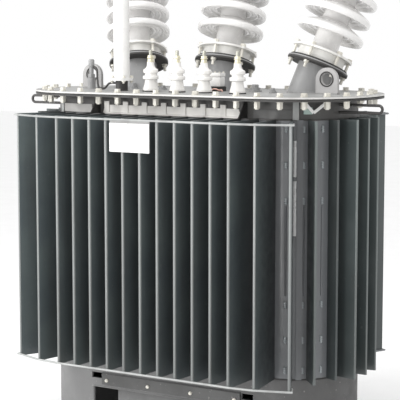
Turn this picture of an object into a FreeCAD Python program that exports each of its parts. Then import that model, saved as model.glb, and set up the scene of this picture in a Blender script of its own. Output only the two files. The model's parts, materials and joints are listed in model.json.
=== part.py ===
import FreeCAD, Part
import math
import os

# Three-phase oil-filled power transformer in a corrugated tank with rounded corners.
# Millimetres, +Z up, +X along the tank, the low-voltage side faces -Y.
# The origin is on the ground, under the middle of the tank.

VEC = FreeCAD.Vector
UP = VEC(0, 0, 1)

# ---- driving sizes: tank ----
tank_length = 1436.0
tank_width = 568.0
corner_radius = 243.0
end_flat_min = 20.0
wall_thickness = 6.0
belt_setback = 2.0
skirt_offset = 8.0
fin_height = 1100.0
fin_bottom_z = 380.0
upper_belt_height = 79.0
floor_thickness = 10.0
floor_z = 245.0

# ---- driving sizes: cover joint ----
cover_overhang = 109.0
flange_thickness = 8.0
cover_thickness = 7.0
gasket_thickness = 4.0
gasket_setback = 3.0
flange_inner_setback = 30.0

# ---- driving sizes: fins ----
fin_thickness = 12.0
fin_pitch = 87.0
front_fin_depth = 246.0
front_fin_count = 11
front_corner_fins = ((9.2, 240.0), (26.8, 240.0))
rear_corner_fins = ((9.2, 240.0), (23.8, 231.0))
end_fin_depth = 98.0
end_corner_fins = ((43.8, 105.0), (66.5, 60.0), (80.0, 99.0))
fin_nose_radius = 5.0
rod_diameter = 9.0
rod_inset = 6.0
rod_return = 60.0
rod_corner_gap = 0.3

# ---- driving sizes: base ----
skirt_thickness = 12.0
window_width = 826.0
window_height = 238.0
notch_width = 56.0
notch_height = 26.0
notch_gap = 4.0
beam_length = 724.0
beam_height = 51.0
beam_thickness = 10.0
beam_bottom_z = 251.0
skid_length = 640.0
skid_flange_width = 80.0
skid_web = 10.0
skid_setback = 60.0
foundation_hole_radius = 11.0
foundation_hole_spacing = 550.0

# ---- driving sizes: high-voltage bushings ----
phases = (-1, 0, 1)
phase_names = ("left", "middle", "right")
phase_pitch = 446.0
phase_row_y = 140.0
lean_back = 18.0
fan_out = 14.5
turret_diameter = 170.0
turret_length = 130.0
turret_flange_diameter = 278.0
turret_flange_thickness = 12.0
hv_gasket_thickness = 8.0
hv_gasket_diameter = 262.0
clamp_ring_diameter = 214.0
clamp_ring_height = 50.0
clamp_lip_diameter = 266.0
clamp_lip_thickness = 9.0
core_diameter = 117.0
core_foot_diameter = 146.0
shed_diameter = 306.0
shed_pitch = 86.0
shed_count = 5
first_shed_height = 88.0
shed_rise = 40.0
shed_lip = 7.0
porcelain_neck = 55.0
hv_cap_diameter = 96.0
hv_cap_height = 62.0
hv_stud_radius = 10.0
hv_stud_length = 60.0

# ---- driving sizes: low-voltage bushings ----
lv_first_x = -169.0
lv_pitch = 139.0
lv_phase_count = 3
lv_neutral_gap = 168.0
lv_row_y = -182.0
lv_gasket_diameter = 74.0
lv_gasket_thickness = 5.0
lv_foot_diameter = 69.0
lv_waist_diameter = 44.0
lv_shed_diameter = 69.0
lv_upper_shed_diameter = 63.0
lv_neck_diameter = 32.0
lv_foot_edge = 7.0
lv_lower_shed_z = 55.0
lv_upper_shed_z = 85.0
lv_shed_thickness = 7.0
lv_shed_slope = 11.0
lv_neck_length = 18.0
lv_height = 125.0
lv_stud_radius = 8.0
lv_stud_length = 53.0

# ---- driving sizes: cover fittings ----
gauge_x = -325.0
gauge_y = -182.0
gauge_stub_diameter = 55.0
gauge_stub_height = 46.0
gauge_flange_diameter = 102.0
gauge_flange_thickness = 12.0
gauge_tube_diameter = 72.0
gauge_tube_height = 480.0
lug_x = 614.0
lug_y = 0.0
lug_width = 105.0
lug_height = 113.0
lug_thickness = 16.0
lug_hole_radius = 26.0
lug_hole_height = 64.0
hook_rod_diameter = 12.0
hook_y = -80.0
hook_lower_z = 28.0
hook_upper_z = 60.0
hook_reach = 198.0
thermometer_x = -568.0
thermometer_y = -76.0
thermometer_base_diameter = 38.0
thermometer_base_height = 52.0
thermometer_stem_diameter = 20.0
thermometer_height = 136.0
switch_x = 60.0
switch_gap = 0.6
switch_base_diameter = 80.0
switch_base_height = 20.0
switch_box_size = (58.0, 48.0, 62.0)
earth_pad_angle = 42.0
earth_pad_height = 24.0
earth_pad_size = (8.0, 36.0, 28.0)
strip_width = 26.0
strip_thickness = 5.0
strip_angle = 34.5
plate_width = 202.0
plate_height = 122.0
plate_thickness = 3.0
plate_x = -44.0
bracket_height = 10.0
bracket_thickness = 5.0

# ---- derived levels and places ----
half_length = tank_length / 2
half_width = tank_width / 2
# the corner rounding is limited by the wall: a narrow flat stays across each end for its middle fin
corner_rounding = min(corner_radius, half_width - end_flat_min / 2)
corner_x = half_length - corner_rounding
corner_y = half_width - corner_rounding
fin_top_z = fin_bottom_z + fin_height
flange_z = fin_top_z + upper_belt_height
gasket_z = flange_z + flange_thickness
cover_z = gasket_z + gasket_thickness
cover_top_z = cover_z + cover_thickness
front_fin_tip_y = half_width + front_fin_depth
wall_root = wall_thickness / 2
turret_foot_y = phase_row_y - turret_diameter / 2 / math.cos(math.radians(lean_back))
switch_y = turret_foot_y - switch_gap - switch_base_diameter / 2


def outline(length, width, radius):
    """Closed rounded-rectangle wire on the XY plane, centred on the origin."""
    a = length / 2
    b = width / 2
    r = radius
    c = r * (1 - math.sqrt(0.5))
    corners = []
    for sx, sy in ((1, -1), (1, 1), (-1, 1), (-1, -1)):
        near_x = VEC(sx * (a - r), sy * b, 0)
        middle = VEC(sx * (a - c), sy * (b - c), 0)
        near_y = VEC(sx * a, sy * (b - r), 0)
        points = (near_x, middle, near_y) if sx * sy < 0 else (near_y, middle, near_x)
        corners.append(points)
    edges = []
    for index, (start, middle, end) in enumerate(corners):
        edges.append(Part.Arc(start, middle, end).toShape())
        edges.append(Part.LineSegment(end, corners[(index + 1) % 4][0]).toShape())
    return Part.Wire(Part.__sortEdges__(edges))


def tank_prism(offset, bottom, height):
    """Solid of the tank's outline, grown by offset, from bottom up."""
    wire = outline(tank_length + 2 * offset, tank_width + 2 * offset, corner_rounding + offset)
    wire.translate(VEC(0, 0, bottom))
    return Part.Face(wire).extrude(VEC(0, 0, height))


def ring(outer, inner, bottom, height):
    """Band round the tank between two offsets from its wall."""
    return tank_prism(outer, bottom, height).cut(tank_prism(inner, bottom, height))


def box(centre_x, centre_y, bottom, size_x, size_y, size_z):
    """Box centred in X and Y, standing on bottom."""
    corner = VEC(centre_x - size_x / 2, centre_y - size_y / 2, bottom)
    return Part.makeBox(size_x, size_y, size_z, corner)


def disc(x, y, bottom, diameter, height):
    """Upright cylinder."""
    return Part.makeCylinder(diameter / 2, height, VEC(x, y, bottom), UP)


def turned(profile):
    """Solid of revolution about Z from (radius, height) points that start and end on the axis."""
    points = [VEC(r, 0, z) for r, z in profile]
    points.append(points[0])
    face = Part.Face(Part.makePolygon(points))
    return face.revolve(VEC(0, 0, 0), UP, 360)


def save(name, shape):
    """Writes one node; several solids of a node go in as a compound."""
    shape.exportStep(os.path.join("parts", name + ".step"))


# ---- base ----
def base_skirt():
    """Ring on the ground with a window and two notches at the front and at the back."""
    body = ring(skirt_offset, skirt_offset - skirt_thickness, 0, fin_bottom_z)
    through = tank_width * 2
    body = body.cut(box(0, 0, 0, window_width, through, window_height))
    for side in (-1, 1):
        x = side * (beam_length / 2 + notch_gap + notch_width / 2)
        z = beam_bottom_z + beam_height - notch_height
        body = body.cut(box(x, 0, z, notch_width, through, notch_height))
    return body


def base_beam(side):
    """Flat beam across the skirt."""
    y = side * (half_width + skirt_offset + beam_thickness / 2)
    return box(0, y, beam_bottom_z, beam_length, beam_thickness, beam_height)


def skid(side):
    """Channel on the ground with its web outward and a foundation hole near each end."""
    web_y = side * (half_width + skirt_offset - skid_setback)
    centre_y = web_y - side * skid_flange_width / 2
    body = box(0, centre_y, 0, skid_length, skid_flange_width, floor_z)
    hollow_y = centre_y - side * skid_web
    body = body.cut(box(0, hollow_y, skid_web, skid_length, skid_flange_width, floor_z - 2 * skid_web))
    for x in (-foundation_hole_spacing / 2, foundation_hole_spacing / 2):
        body = body.cut(disc(x, centre_y, 0, 2 * foundation_hole_radius, skid_web))
    return body


def tank_floor():
    """Floor plate inside the skirt."""
    return tank_prism(skirt_offset - skirt_thickness, floor_z, floor_thickness)


# ---- tank ----
def tank_wall():
    """Shell between the fins."""
    return ring(0, -wall_thickness, fin_bottom_z, fin_height)


def upper_belt():
    """Shell above the fins."""
    return ring(-belt_setback, -belt_setback - wall_thickness, fin_top_z, upper_belt_height)


def tank_flange():
    """Ring that the cover is bolted to."""
    return ring(cover_overhang, -flange_inner_setback, flange_z, flange_thickness)


def cover_gasket():
    """Flat gasket under the cover."""
    return ring(cover_overhang - gasket_setback, -flange_inner_setback, gasket_z, gasket_thickness)


def cover_plate():
    """Plate that closes the tank."""
    return tank_prism(cover_overhang, cover_z, cover_thickness)


def corner_direction(sign_x, sign_y, angle):
    """Unit vector square to a rounded corner; the angle is counted from the long side."""
    turn = math.radians(angle)
    return VEC(sign_x * math.sin(turn), sign_y * math.cos(turn), 0)


def corner_point(sign_x, sign_y, angle, reach):
    """Point in plan at a distance from a corner's centre."""
    return VEC(sign_x * corner_x, sign_y * corner_y, 0) + corner_direction(sign_x, sign_y, angle) * reach


def heading(direction):
    """Angle of a direction in plan, in degrees from +X."""
    return math.degrees(math.atan2(direction.y, direction.x))


# ---- fins ----
def fin(root, direction, depth):
    """Upright plate with a rounded nose, standing out of the wall at root."""
    length = depth + wall_root
    corner = VEC(-wall_root, -fin_thickness / 2, fin_bottom_z)
    plate = Part.makeBox(length, fin_thickness, fin_height, corner)
    nose = []
    for edge in plate.Edges:
        middle = edge.CenterOfMass
        if abs(middle.x - depth) < 0.01 and abs(middle.y) > 0.01:
            nose.append(edge)
    plate = plate.makeFillet(fin_nose_radius, nose)
    plate.rotate(VEC(0, 0, 0), UP, direction)
    plate.translate(root)
    return plate.cut(tank_prism(0, fin_bottom_z, fin_height))


def corner_fin(sign_x, sign_y, angle, depth):
    """Fin square to a rounded corner."""
    direction = corner_direction(sign_x, sign_y, angle)
    return fin(corner_point(sign_x, sign_y, angle, corner_rounding), heading(direction), depth)


def deep_corner_fins(side):
    """Angle and depth of the deep fins on each corner of the front (-1) or the back (1)."""
    return front_corner_fins if side < 0 else rear_corner_fins


def long_side_fins(side):
    """Deep fins of the front (-1) or the back (1), with the deep ones of both corners."""
    solids = []
    middle = (front_fin_count - 1) / 2
    for index in range(front_fin_count):
        root = VEC((index - middle) * fin_pitch, side * half_width, 0)
        solids.append(fin(root, side * 90, front_fin_depth))
    for sign_x in (-1, 1):
        for angle, depth in deep_corner_fins(side):
            solids.append(corner_fin(sign_x, side, angle, depth))
    return Part.makeCompound(solids)


def end_fins(side):
    """Shallow fins of the left (-1) or the right (1) end, round both its corners."""
    solids = [fin(VEC(side * half_length, 0, 0), 0 if side > 0 else 180, end_fin_depth)]
    for sign_y in (-1, 1):
        for angle, depth in end_corner_fins:
            solids.append(corner_fin(side, sign_y, angle, depth))
    return Part.makeCompound(solids)


def fin_rod(side, z):
    """Round bar along the noses of the deep fins, bent back beside the last ones."""
    radius = rod_diameter / 2
    last_straight = (front_fin_count - 1) / 2 * fin_pitch + fin_thickness
    first, last = deep_corner_fins(side)
    beyond = corner_rounding + radius + rod_corner_gap
    outward = corner_direction(1, side, last[0])
    beside = VEC(outward.y, -outward.x, 0) * side * (fin_thickness / 2 + radius + rod_corner_gap)
    half = [
        VEC(last_straight, side * (front_fin_tip_y + radius), 0),
        corner_point(1, side, first[0], beyond + first[1]),
        corner_point(1, side, last[0], beyond + last[1]) + beside,
        corner_point(1, side, last[0], beyond + last[1] - rod_return) + beside,
    ]
    points = [VEC(-point.x, point.y, z) for point in reversed(half)]
    points += [VEC(point.x, point.y, z) for point in half]
    section = Part.Wire(Part.makeCircle(radius, points[0], points[1] - points[0]))
    return Part.makePolygon(points).makePipeShell([section], True, True, 1)


def fin_rods(side):
    """Upper and lower bar of one long side."""
    levels = (fin_bottom_z + rod_inset, fin_top_z - rod_inset)
    return Part.makeCompound([fin_rod(side, z) for z in levels])


def corner_bar(sign_x, sign_y, angle, bottom, size):
    """Box of (outward, along the wall, up) size with its back inside a rounded corner."""
    out, width, height = size
    bar = Part.makeBox(out + wall_root, width, height, VEC(-wall_root, -width / 2, bottom))
    bar.rotate(VEC(0, 0, 0), UP, heading(corner_direction(sign_x, sign_y, angle)))
    bar.translate(corner_point(sign_x, sign_y, angle, corner_rounding))
    return bar


def corner_strips():
    """Flat bars up the corners, over the seams of the corrugated wall."""
    size = (strip_thickness, strip_width, fin_height)
    core = tank_prism(0, fin_bottom_z, fin_height)
    solids = []
    for sign_x in (-1, 1):
        for sign_y in (-1, 1):
            solids.append(corner_bar(sign_x, sign_y, strip_angle, fin_bottom_z, size).cut(core))
    return Part.makeCompound(solids)


def earth_terminal():
    """Small pad on the upper belt at the front right corner."""
    pad = corner_bar(1, -1, earth_pad_angle, fin_top_z + earth_pad_height, earth_pad_size)
    return pad.cut(tank_prism(-belt_setback, fin_top_z, upper_belt_height))


# ---- high-voltage bushings ----
def lean(shape, phase):
    """Tilts an upright piece, built on the origin, to its phase's lean and moves it onto the cover."""
    shape.rotate(VEC(0, 0, 0), VEC(1, 0, 0), -lean_back)
    shape.rotate(VEC(0, 0, 0), VEC(0, 1, 0), phase * fan_out)
    shape.translate(VEC(phase * phase_pitch, phase_row_y, cover_top_z))
    return shape


def hv_turret(phase):
    """Leaning pipe with a flange, cut level with the cover at its foot."""
    buried = turret_diameter
    pipe = disc(0, 0, -buried, turret_diameter, turret_length + buried)
    flange_bottom = turret_length - turret_flange_thickness
    flange = disc(0, 0, flange_bottom, turret_flange_diameter, turret_flange_thickness)
    body = lean(pipe.fuse(flange), phase)
    span = tank_length + tank_width
    return body.cut(box(0, 0, cover_top_z - span, 2 * span, 2 * span, span))


def hv_gasket(phase):
    """Rubber disc between turret and porcelain."""
    return lean(disc(0, 0, turret_length, hv_gasket_diameter, hv_gasket_thickness), phase)


def hv_foot():
    """Height of the porcelain's foot along the bushing's axis."""
    return turret_length + hv_gasket_thickness


def hv_clamp_ring(phase):
    """Cast drum with a lip for the bolts, round the porcelain's foot."""
    foot = hv_foot()
    drum = disc(0, 0, foot, clamp_ring_diameter, clamp_ring_height)
    lip = disc(0, 0, foot + clamp_ring_height - clamp_lip_thickness, clamp_lip_diameter, clamp_lip_thickness)
    bore = disc(0, 0, foot, core_foot_diameter, clamp_ring_height)
    return lean(drum.fuse(lip).cut(bore), phase)


def hv_top():
    """Height of the porcelain's top along the bushing's axis."""
    return hv_foot() + clamp_ring_height + first_shed_height + (shed_count - 1) * shed_pitch + porcelain_neck


def hv_porcelain(phase):
    """Porcelain body with umbrella sheds, cupped underneath."""
    foot = hv_foot()
    core = core_diameter / 2
    shed = shed_diameter / 2
    profile = [(0, foot), (core_foot_diameter / 2, foot), (core_foot_diameter / 2, foot + clamp_ring_height)]
    for index in range(shed_count):
        z = foot + clamp_ring_height + first_shed_height + index * shed_pitch
        profile += [(core, z + shed_lip), (shed, z), (shed, z + shed_lip), (core, z + shed_rise)]
    profile += [(core, hv_top()), (0, hv_top())]
    return lean(turned(profile), phase)


def hv_terminal(phase):
    """Metal cap with a threaded stud."""
    top = hv_top()
    cap = disc(0, 0, top, hv_cap_diameter, hv_cap_height)
    stud = disc(0, 0, top + hv_cap_height, 2 * hv_stud_radius, hv_stud_length)
    return lean(cap.fuse(stud), phase)


# ---- low-voltage bushings ----
def lv_places():
    """Centres of the low-voltage bushings on the cover, the neutral last."""
    places = [lv_first_x + index * lv_pitch for index in range(lv_phase_count)]
    places.append(places[-1] + lv_neutral_gap)
    return [(x, lv_row_y) for x in places]


def lv_gaskets():
    """Rubber washers under the low-voltage porcelains."""
    discs = [disc(x, y, cover_top_z, lv_gasket_diameter, lv_gasket_thickness) for x, y in lv_places()]
    return Part.makeCompound(discs)


def lv_bushing():
    """Small porcelain with a flared foot and two sheds, built on the origin."""
    foot = lv_foot_diameter / 2
    waist = lv_waist_diameter / 2
    neck = lv_neck_diameter / 2
    profile = [(0, 0), (foot, 0), (foot, lv_foot_edge), (waist, lv_lower_shed_z - lv_shed_slope)]
    for diameter, bottom in ((lv_shed_diameter, lv_lower_shed_z), (lv_upper_shed_diameter, lv_upper_shed_z)):
        top = bottom + lv_shed_thickness
        profile += [(diameter / 2, bottom), (diameter / 2, top), (waist, top + lv_shed_slope)]
    profile += [(neck, lv_height - lv_neck_length), (neck, lv_height), (0, lv_height)]
    return turned(profile)


def lv_bushings():
    """The row of low-voltage porcelains."""
    solids = []
    for x, y in lv_places():
        solid = lv_bushing()
        solid.translate(VEC(x, y, cover_top_z + lv_gasket_thickness))
        solids.append(solid)
    return Part.makeCompound(solids)


def lv_studs():
    """Threaded studs on the low-voltage porcelains."""
    z = cover_top_z + lv_gasket_thickness + lv_height
    return Part.makeCompound([disc(x, y, z, 2 * lv_stud_radius, lv_stud_length) for x, y in lv_places()])


# ---- cover fittings ----
def oil_gauge_stub():
    """Short pipe on the cover."""
    return disc(gauge_x, gauge_y, cover_top_z, gauge_stub_diameter, gauge_stub_height)


def oil_gauge_flange():
    """Flange under the gauge tube."""
    z = cover_top_z + gauge_stub_height
    return disc(gauge_x, gauge_y, z, gauge_flange_diameter, gauge_flange_thickness)


def oil_gauge_tube():
    """Upright tube with a domed cap."""
    z = cover_top_z + gauge_stub_height + gauge_flange_thickness
    body = disc(gauge_x, gauge_y, z, gauge_tube_diameter, gauge_tube_height)
    rim = body.Edges[0] if body.Edges[0].CenterOfMass.z > z + 1 else body.Edges[2]
    return body.makeFillet(gauge_tube_diameter / 4, [rim])


def lifting_lug(side):
    """Plate with a round top and an eye, standing on the cover."""
    half = lug_width / 2
    x = side * lug_x
    z = cover_top_z
    shoulder = lug_height - half
    left, right = x - half, x + half
    points = (VEC(left, 0, z), VEC(right, 0, z), VEC(right, 0, z + shoulder), VEC(left, 0, z + shoulder))
    edges = [
        Part.LineSegment(points[0], points[1]).toShape(),
        Part.LineSegment(points[1], points[2]).toShape(),
        Part.Arc(points[2], VEC(x, 0, z + lug_height), points[3]).toShape(),
        Part.LineSegment(points[3], points[0]).toShape(),
    ]
    plate = Part.Face(Part.Wire(edges)).extrude(VEC(0, lug_thickness, 0))
    plate.translate(VEC(0, lug_y - lug_thickness / 2, 0))
    eye_start = VEC(x, lug_y - lug_thickness, z + lug_hole_height)
    return plate.cut(Part.makeCylinder(lug_hole_radius, 2 * lug_thickness, eye_start, VEC(0, 1, 0)))


def lashing_hook(side):
    """Round bar bent into a U, standing out of the tank's end wall under the flange."""
    low = fin_top_z + hook_lower_z
    high = fin_top_z + hook_upper_z
    y = hook_y
    start = side * corner_x
    out = side * (half_length + hook_reach - hook_rod_diameter / 2 - (high - low) / 2)
    bulge = side * (half_length + hook_reach - hook_rod_diameter / 2)
    edges = [
        Part.LineSegment(VEC(start, y, low), VEC(out, y, low)).toShape(),
        Part.Arc(VEC(out, y, low), VEC(bulge, y, (low + high) / 2), VEC(out, y, high)).toShape(),
        Part.LineSegment(VEC(out, y, high), VEC(start, y, high)).toShape(),
    ]
    section = Part.Wire(Part.makeCircle(hook_rod_diameter / 2, VEC(start, y, low), VEC(1, 0, 0)))
    bar = Part.Wire(edges).makePipeShell([section], True, True, 1)
    return bar.cut(tank_prism(-belt_setback, fin_top_z, upper_belt_height))


def thermometer_pocket():
    """Slim fitting: a round base and a stem."""
    base = disc(thermometer_x, thermometer_y, cover_top_z, thermometer_base_diameter, thermometer_base_height)
    stem = disc(thermometer_x, thermometer_y, cover_top_z, thermometer_stem_diameter, thermometer_height)
    return base.fuse(stem)


def tap_switch_base():
    """Round foot of the tap switch."""
    return disc(switch_x, switch_y, cover_top_z, switch_base_diameter, switch_base_height)


def tap_switch_box():
    """Box over the tap switch's handle."""
    size_x, size_y, size_z = switch_box_size
    return box(switch_x, switch_y, cover_top_z + switch_base_height, size_x, size_y, size_z)


def plate_top():
    """Upper edge of the nameplate: its bracket starts under the upper bar."""
    return fin_top_z - rod_inset - rod_diameter / 2 - bracket_height


def nameplate():
    """Bare plate in front of the fins."""
    y = -(front_fin_tip_y + bracket_thickness + plate_thickness / 2)
    return box(plate_x, y, plate_top() - plate_height, plate_width, plate_thickness, plate_height)


def nameplate_bracket():
    """Backing sheet that holds the plate off the fins and shows as a strip above it."""
    y = -(front_fin_tip_y + bracket_thickness / 2)
    height = plate_height + bracket_height
    return box(plate_x, y, plate_top() - plate_height, plate_width, bracket_thickness, height)


def build():
    os.makedirs("parts", exist_ok=True)
    save("base_skirt", base_skirt())
    save("tank_floor", tank_floor())
    for name, side in (("front", -1), ("rear", 1)):
        save(name + "_base_beam", base_beam(side))
        save(name + "_skid", skid(side))
        save(name + "_fins", long_side_fins(side))
        save(name + "_fin_rods", fin_rods(side))
    save("tank_wall", tank_wall())
    save("upper_belt", upper_belt())
    save("tank_flange", tank_flange())
    save("cover_gasket", cover_gasket())
    save("cover_plate", cover_plate())
    save("corner_strips", corner_strips())
    for name, side in (("left", -1), ("right", 1)):
        save(name + "_end_fins", end_fins(side))
        save(name + "_lifting_lug", lifting_lug(side))
        save(name + "_lashing_hook", lashing_hook(side))
    for phase, name in zip(phases, phase_names):
        save("hv_turret_" + name, hv_turret(phase))
        save("hv_porcelain_" + name, hv_porcelain(phase))
        save("hv_terminal_" + name, hv_terminal(phase))
    save("hv_gaskets", Part.makeCompound([hv_gasket(phase) for phase in phases]))
    save("hv_clamp_rings", Part.makeCompound([hv_clamp_ring(phase) for phase in phases]))
    save("lv_gaskets", lv_gaskets())
    save("lv_bushings", lv_bushings())
    save("lv_studs", lv_studs())
    save("oil_gauge_stub", oil_gauge_stub())
    save("oil_gauge_flange", oil_gauge_flange())
    save("oil_gauge_tube", oil_gauge_tube())
    save("earth_terminal", earth_terminal())
    save("thermometer_pocket", thermometer_pocket())
    save("tap_switch_base", tap_switch_base())
    save("tap_switch_box", tap_switch_box())
    save("nameplate", nameplate())
    save("nameplate_bracket", nameplate_bracket())


build()
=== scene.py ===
"""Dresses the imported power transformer: finishes, bolts, weld beads, bushings, fittings and the studio."""
import json
import logging
import math
from dataclasses import dataclass, field
from enum import Enum
from typing import Callable, Iterable, Optional, Sequence

import bmesh
import bpy
from mathutils import Matrix, Vector


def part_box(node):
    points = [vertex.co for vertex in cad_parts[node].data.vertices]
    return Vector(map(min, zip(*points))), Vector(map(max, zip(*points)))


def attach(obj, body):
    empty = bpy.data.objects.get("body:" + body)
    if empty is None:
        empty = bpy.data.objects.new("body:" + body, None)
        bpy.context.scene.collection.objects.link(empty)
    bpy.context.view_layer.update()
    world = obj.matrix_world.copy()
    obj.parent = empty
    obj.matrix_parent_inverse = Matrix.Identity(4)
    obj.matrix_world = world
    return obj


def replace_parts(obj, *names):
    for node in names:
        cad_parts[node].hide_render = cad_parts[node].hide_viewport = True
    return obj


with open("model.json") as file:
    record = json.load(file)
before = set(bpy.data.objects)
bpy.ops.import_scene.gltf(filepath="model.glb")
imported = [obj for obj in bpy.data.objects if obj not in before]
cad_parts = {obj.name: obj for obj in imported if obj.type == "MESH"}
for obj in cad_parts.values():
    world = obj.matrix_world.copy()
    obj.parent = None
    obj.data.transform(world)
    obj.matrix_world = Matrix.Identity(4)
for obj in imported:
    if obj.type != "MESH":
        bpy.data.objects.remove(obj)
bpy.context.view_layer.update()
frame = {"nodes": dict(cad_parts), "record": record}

log = logging.getLogger("transformer")
Colour = tuple[float, float, float]
Point = tuple[float, float, float]

UP = Vector((0.0, 0.0, 1.0))
TANK_CORNER_RADIUS = 0.243  # of the tank's upright corners, which no node's box gives
SIXTH_TURN = 1.05  # radians, the turn after which a hexagon looks the same again
ROUND = 60.0  # degrees, up to which the edges of round pieces stay smooth
SEED = 7  # of every random turn


# ---------------------------------------------------------------- the frame's own levels
@dataclass(frozen=True)
class Levels:
    """Levels and spans of the tank, read from the frame, in metres."""

    half_length: float
    half_width: float
    corner_radius: float
    fin_bottom: float
    fin_top: float
    flange_bottom: float
    cover_top: float

    @classmethod
    def read(cls) -> "Levels":
        """Takes every level from the CAD nodes' boxes.

        Returns:
            The levels.
        """
        wall_low, wall_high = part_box("tank_wall")
        flange_low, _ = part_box("tank_flange")
        _, cover_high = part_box("cover_plate")
        return cls(
            half_length=wall_high.x,
            half_width=wall_high.y,
            corner_radius=TANK_CORNER_RADIUS,
            fin_bottom=wall_low.z,
            fin_top=wall_high.z,
            flange_bottom=flange_low.z,
            cover_top=cover_high.z,
        )

    @property
    def corner(self) -> Vector:
        """Centre of the front right corner's rounding, with y counted outward."""
        return Vector((self.half_length - self.corner_radius, self.half_width - self.corner_radius, 0.0))

    def on_corner(self, sign_x: int, sign_y: int, angle: float, offset: float, z: float) -> Vector:
        """A point near a rounded corner.

        Args:
            sign_x: 1 for the right corners, -1 for the left ones.
            sign_y: 1 for the rear corners, -1 for the front ones.
            angle: Degrees round the corner from its long side.
            offset: Distance outward from the tank wall.
            z: Height.

        Returns:
            The point.
        """
        turn = math.radians(angle)
        reach = self.corner_radius + offset
        return Vector((
            sign_x * (self.corner.x + reach * math.sin(turn)),
            sign_y * (self.corner.y + reach * math.cos(turn)),
            z,
        ))

    def path(self, offset: float, at: float) -> tuple[Vector, Vector]:
        """A point on the rounded rectangle at an offset from the wall.

        Args:
            offset: Distance outward from the tank wall.
            at: Distance along the path, counted to the right from the middle of the front.

        Returns:
            The point at height 0 and the outward direction there.
        """
        radius = self.corner_radius + offset
        arc = radius * math.pi / 2
        across, along = self.corner.x, self.corner.y
        lengths = (across, arc, 2 * along, arc, 2 * across, arc, 2 * along, arc, across)
        at %= sum(lengths)
        leg = 0
        while at > lengths[leg]:
            at -= lengths[leg]
            leg += 1
        corners = {1: (1, -1, -90.0), 3: (1, 1, 0.0), 5: (-1, 1, 90.0), 7: (-1, -1, 180.0)}
        if leg in corners:
            sign_x, sign_y, first = corners[leg]
            turn = math.radians(first) + at / radius
            outward = Vector((math.cos(turn), math.sin(turn), 0.0))
            return Vector((sign_x * across, sign_y * along, 0.0)) + outward * radius, outward
        reach_y = along + radius
        reach_x = across + radius
        straight = {
            0: (Vector((at, -reach_y, 0.0)), Vector((0.0, -1.0, 0.0))),
            2: (Vector((reach_x, at - along, 0.0)), Vector((1.0, 0.0, 0.0))),
            4: (Vector((across - at, reach_y, 0.0)), Vector((0.0, 1.0, 0.0))),
            6: (Vector((-reach_x, along - at, 0.0)), Vector((-1.0, 0.0, 0.0))),
            8: (Vector((at - across, -reach_y, 0.0)), Vector((0.0, -1.0, 0.0))),
        }
        return straight[leg]

    def path_length(self, offset: float) -> float:
        """Length of the whole path at an offset from the wall."""
        return 4 * (self.corner.x + self.corner.y) + 2 * math.pi * (self.corner_radius + offset)


TANK = Levels.read()


def mount(name: str) -> dict:
    """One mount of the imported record, by its name."""
    return next(entry for entry in frame["record"]["mounts"] if entry["name"] == name)


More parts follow.
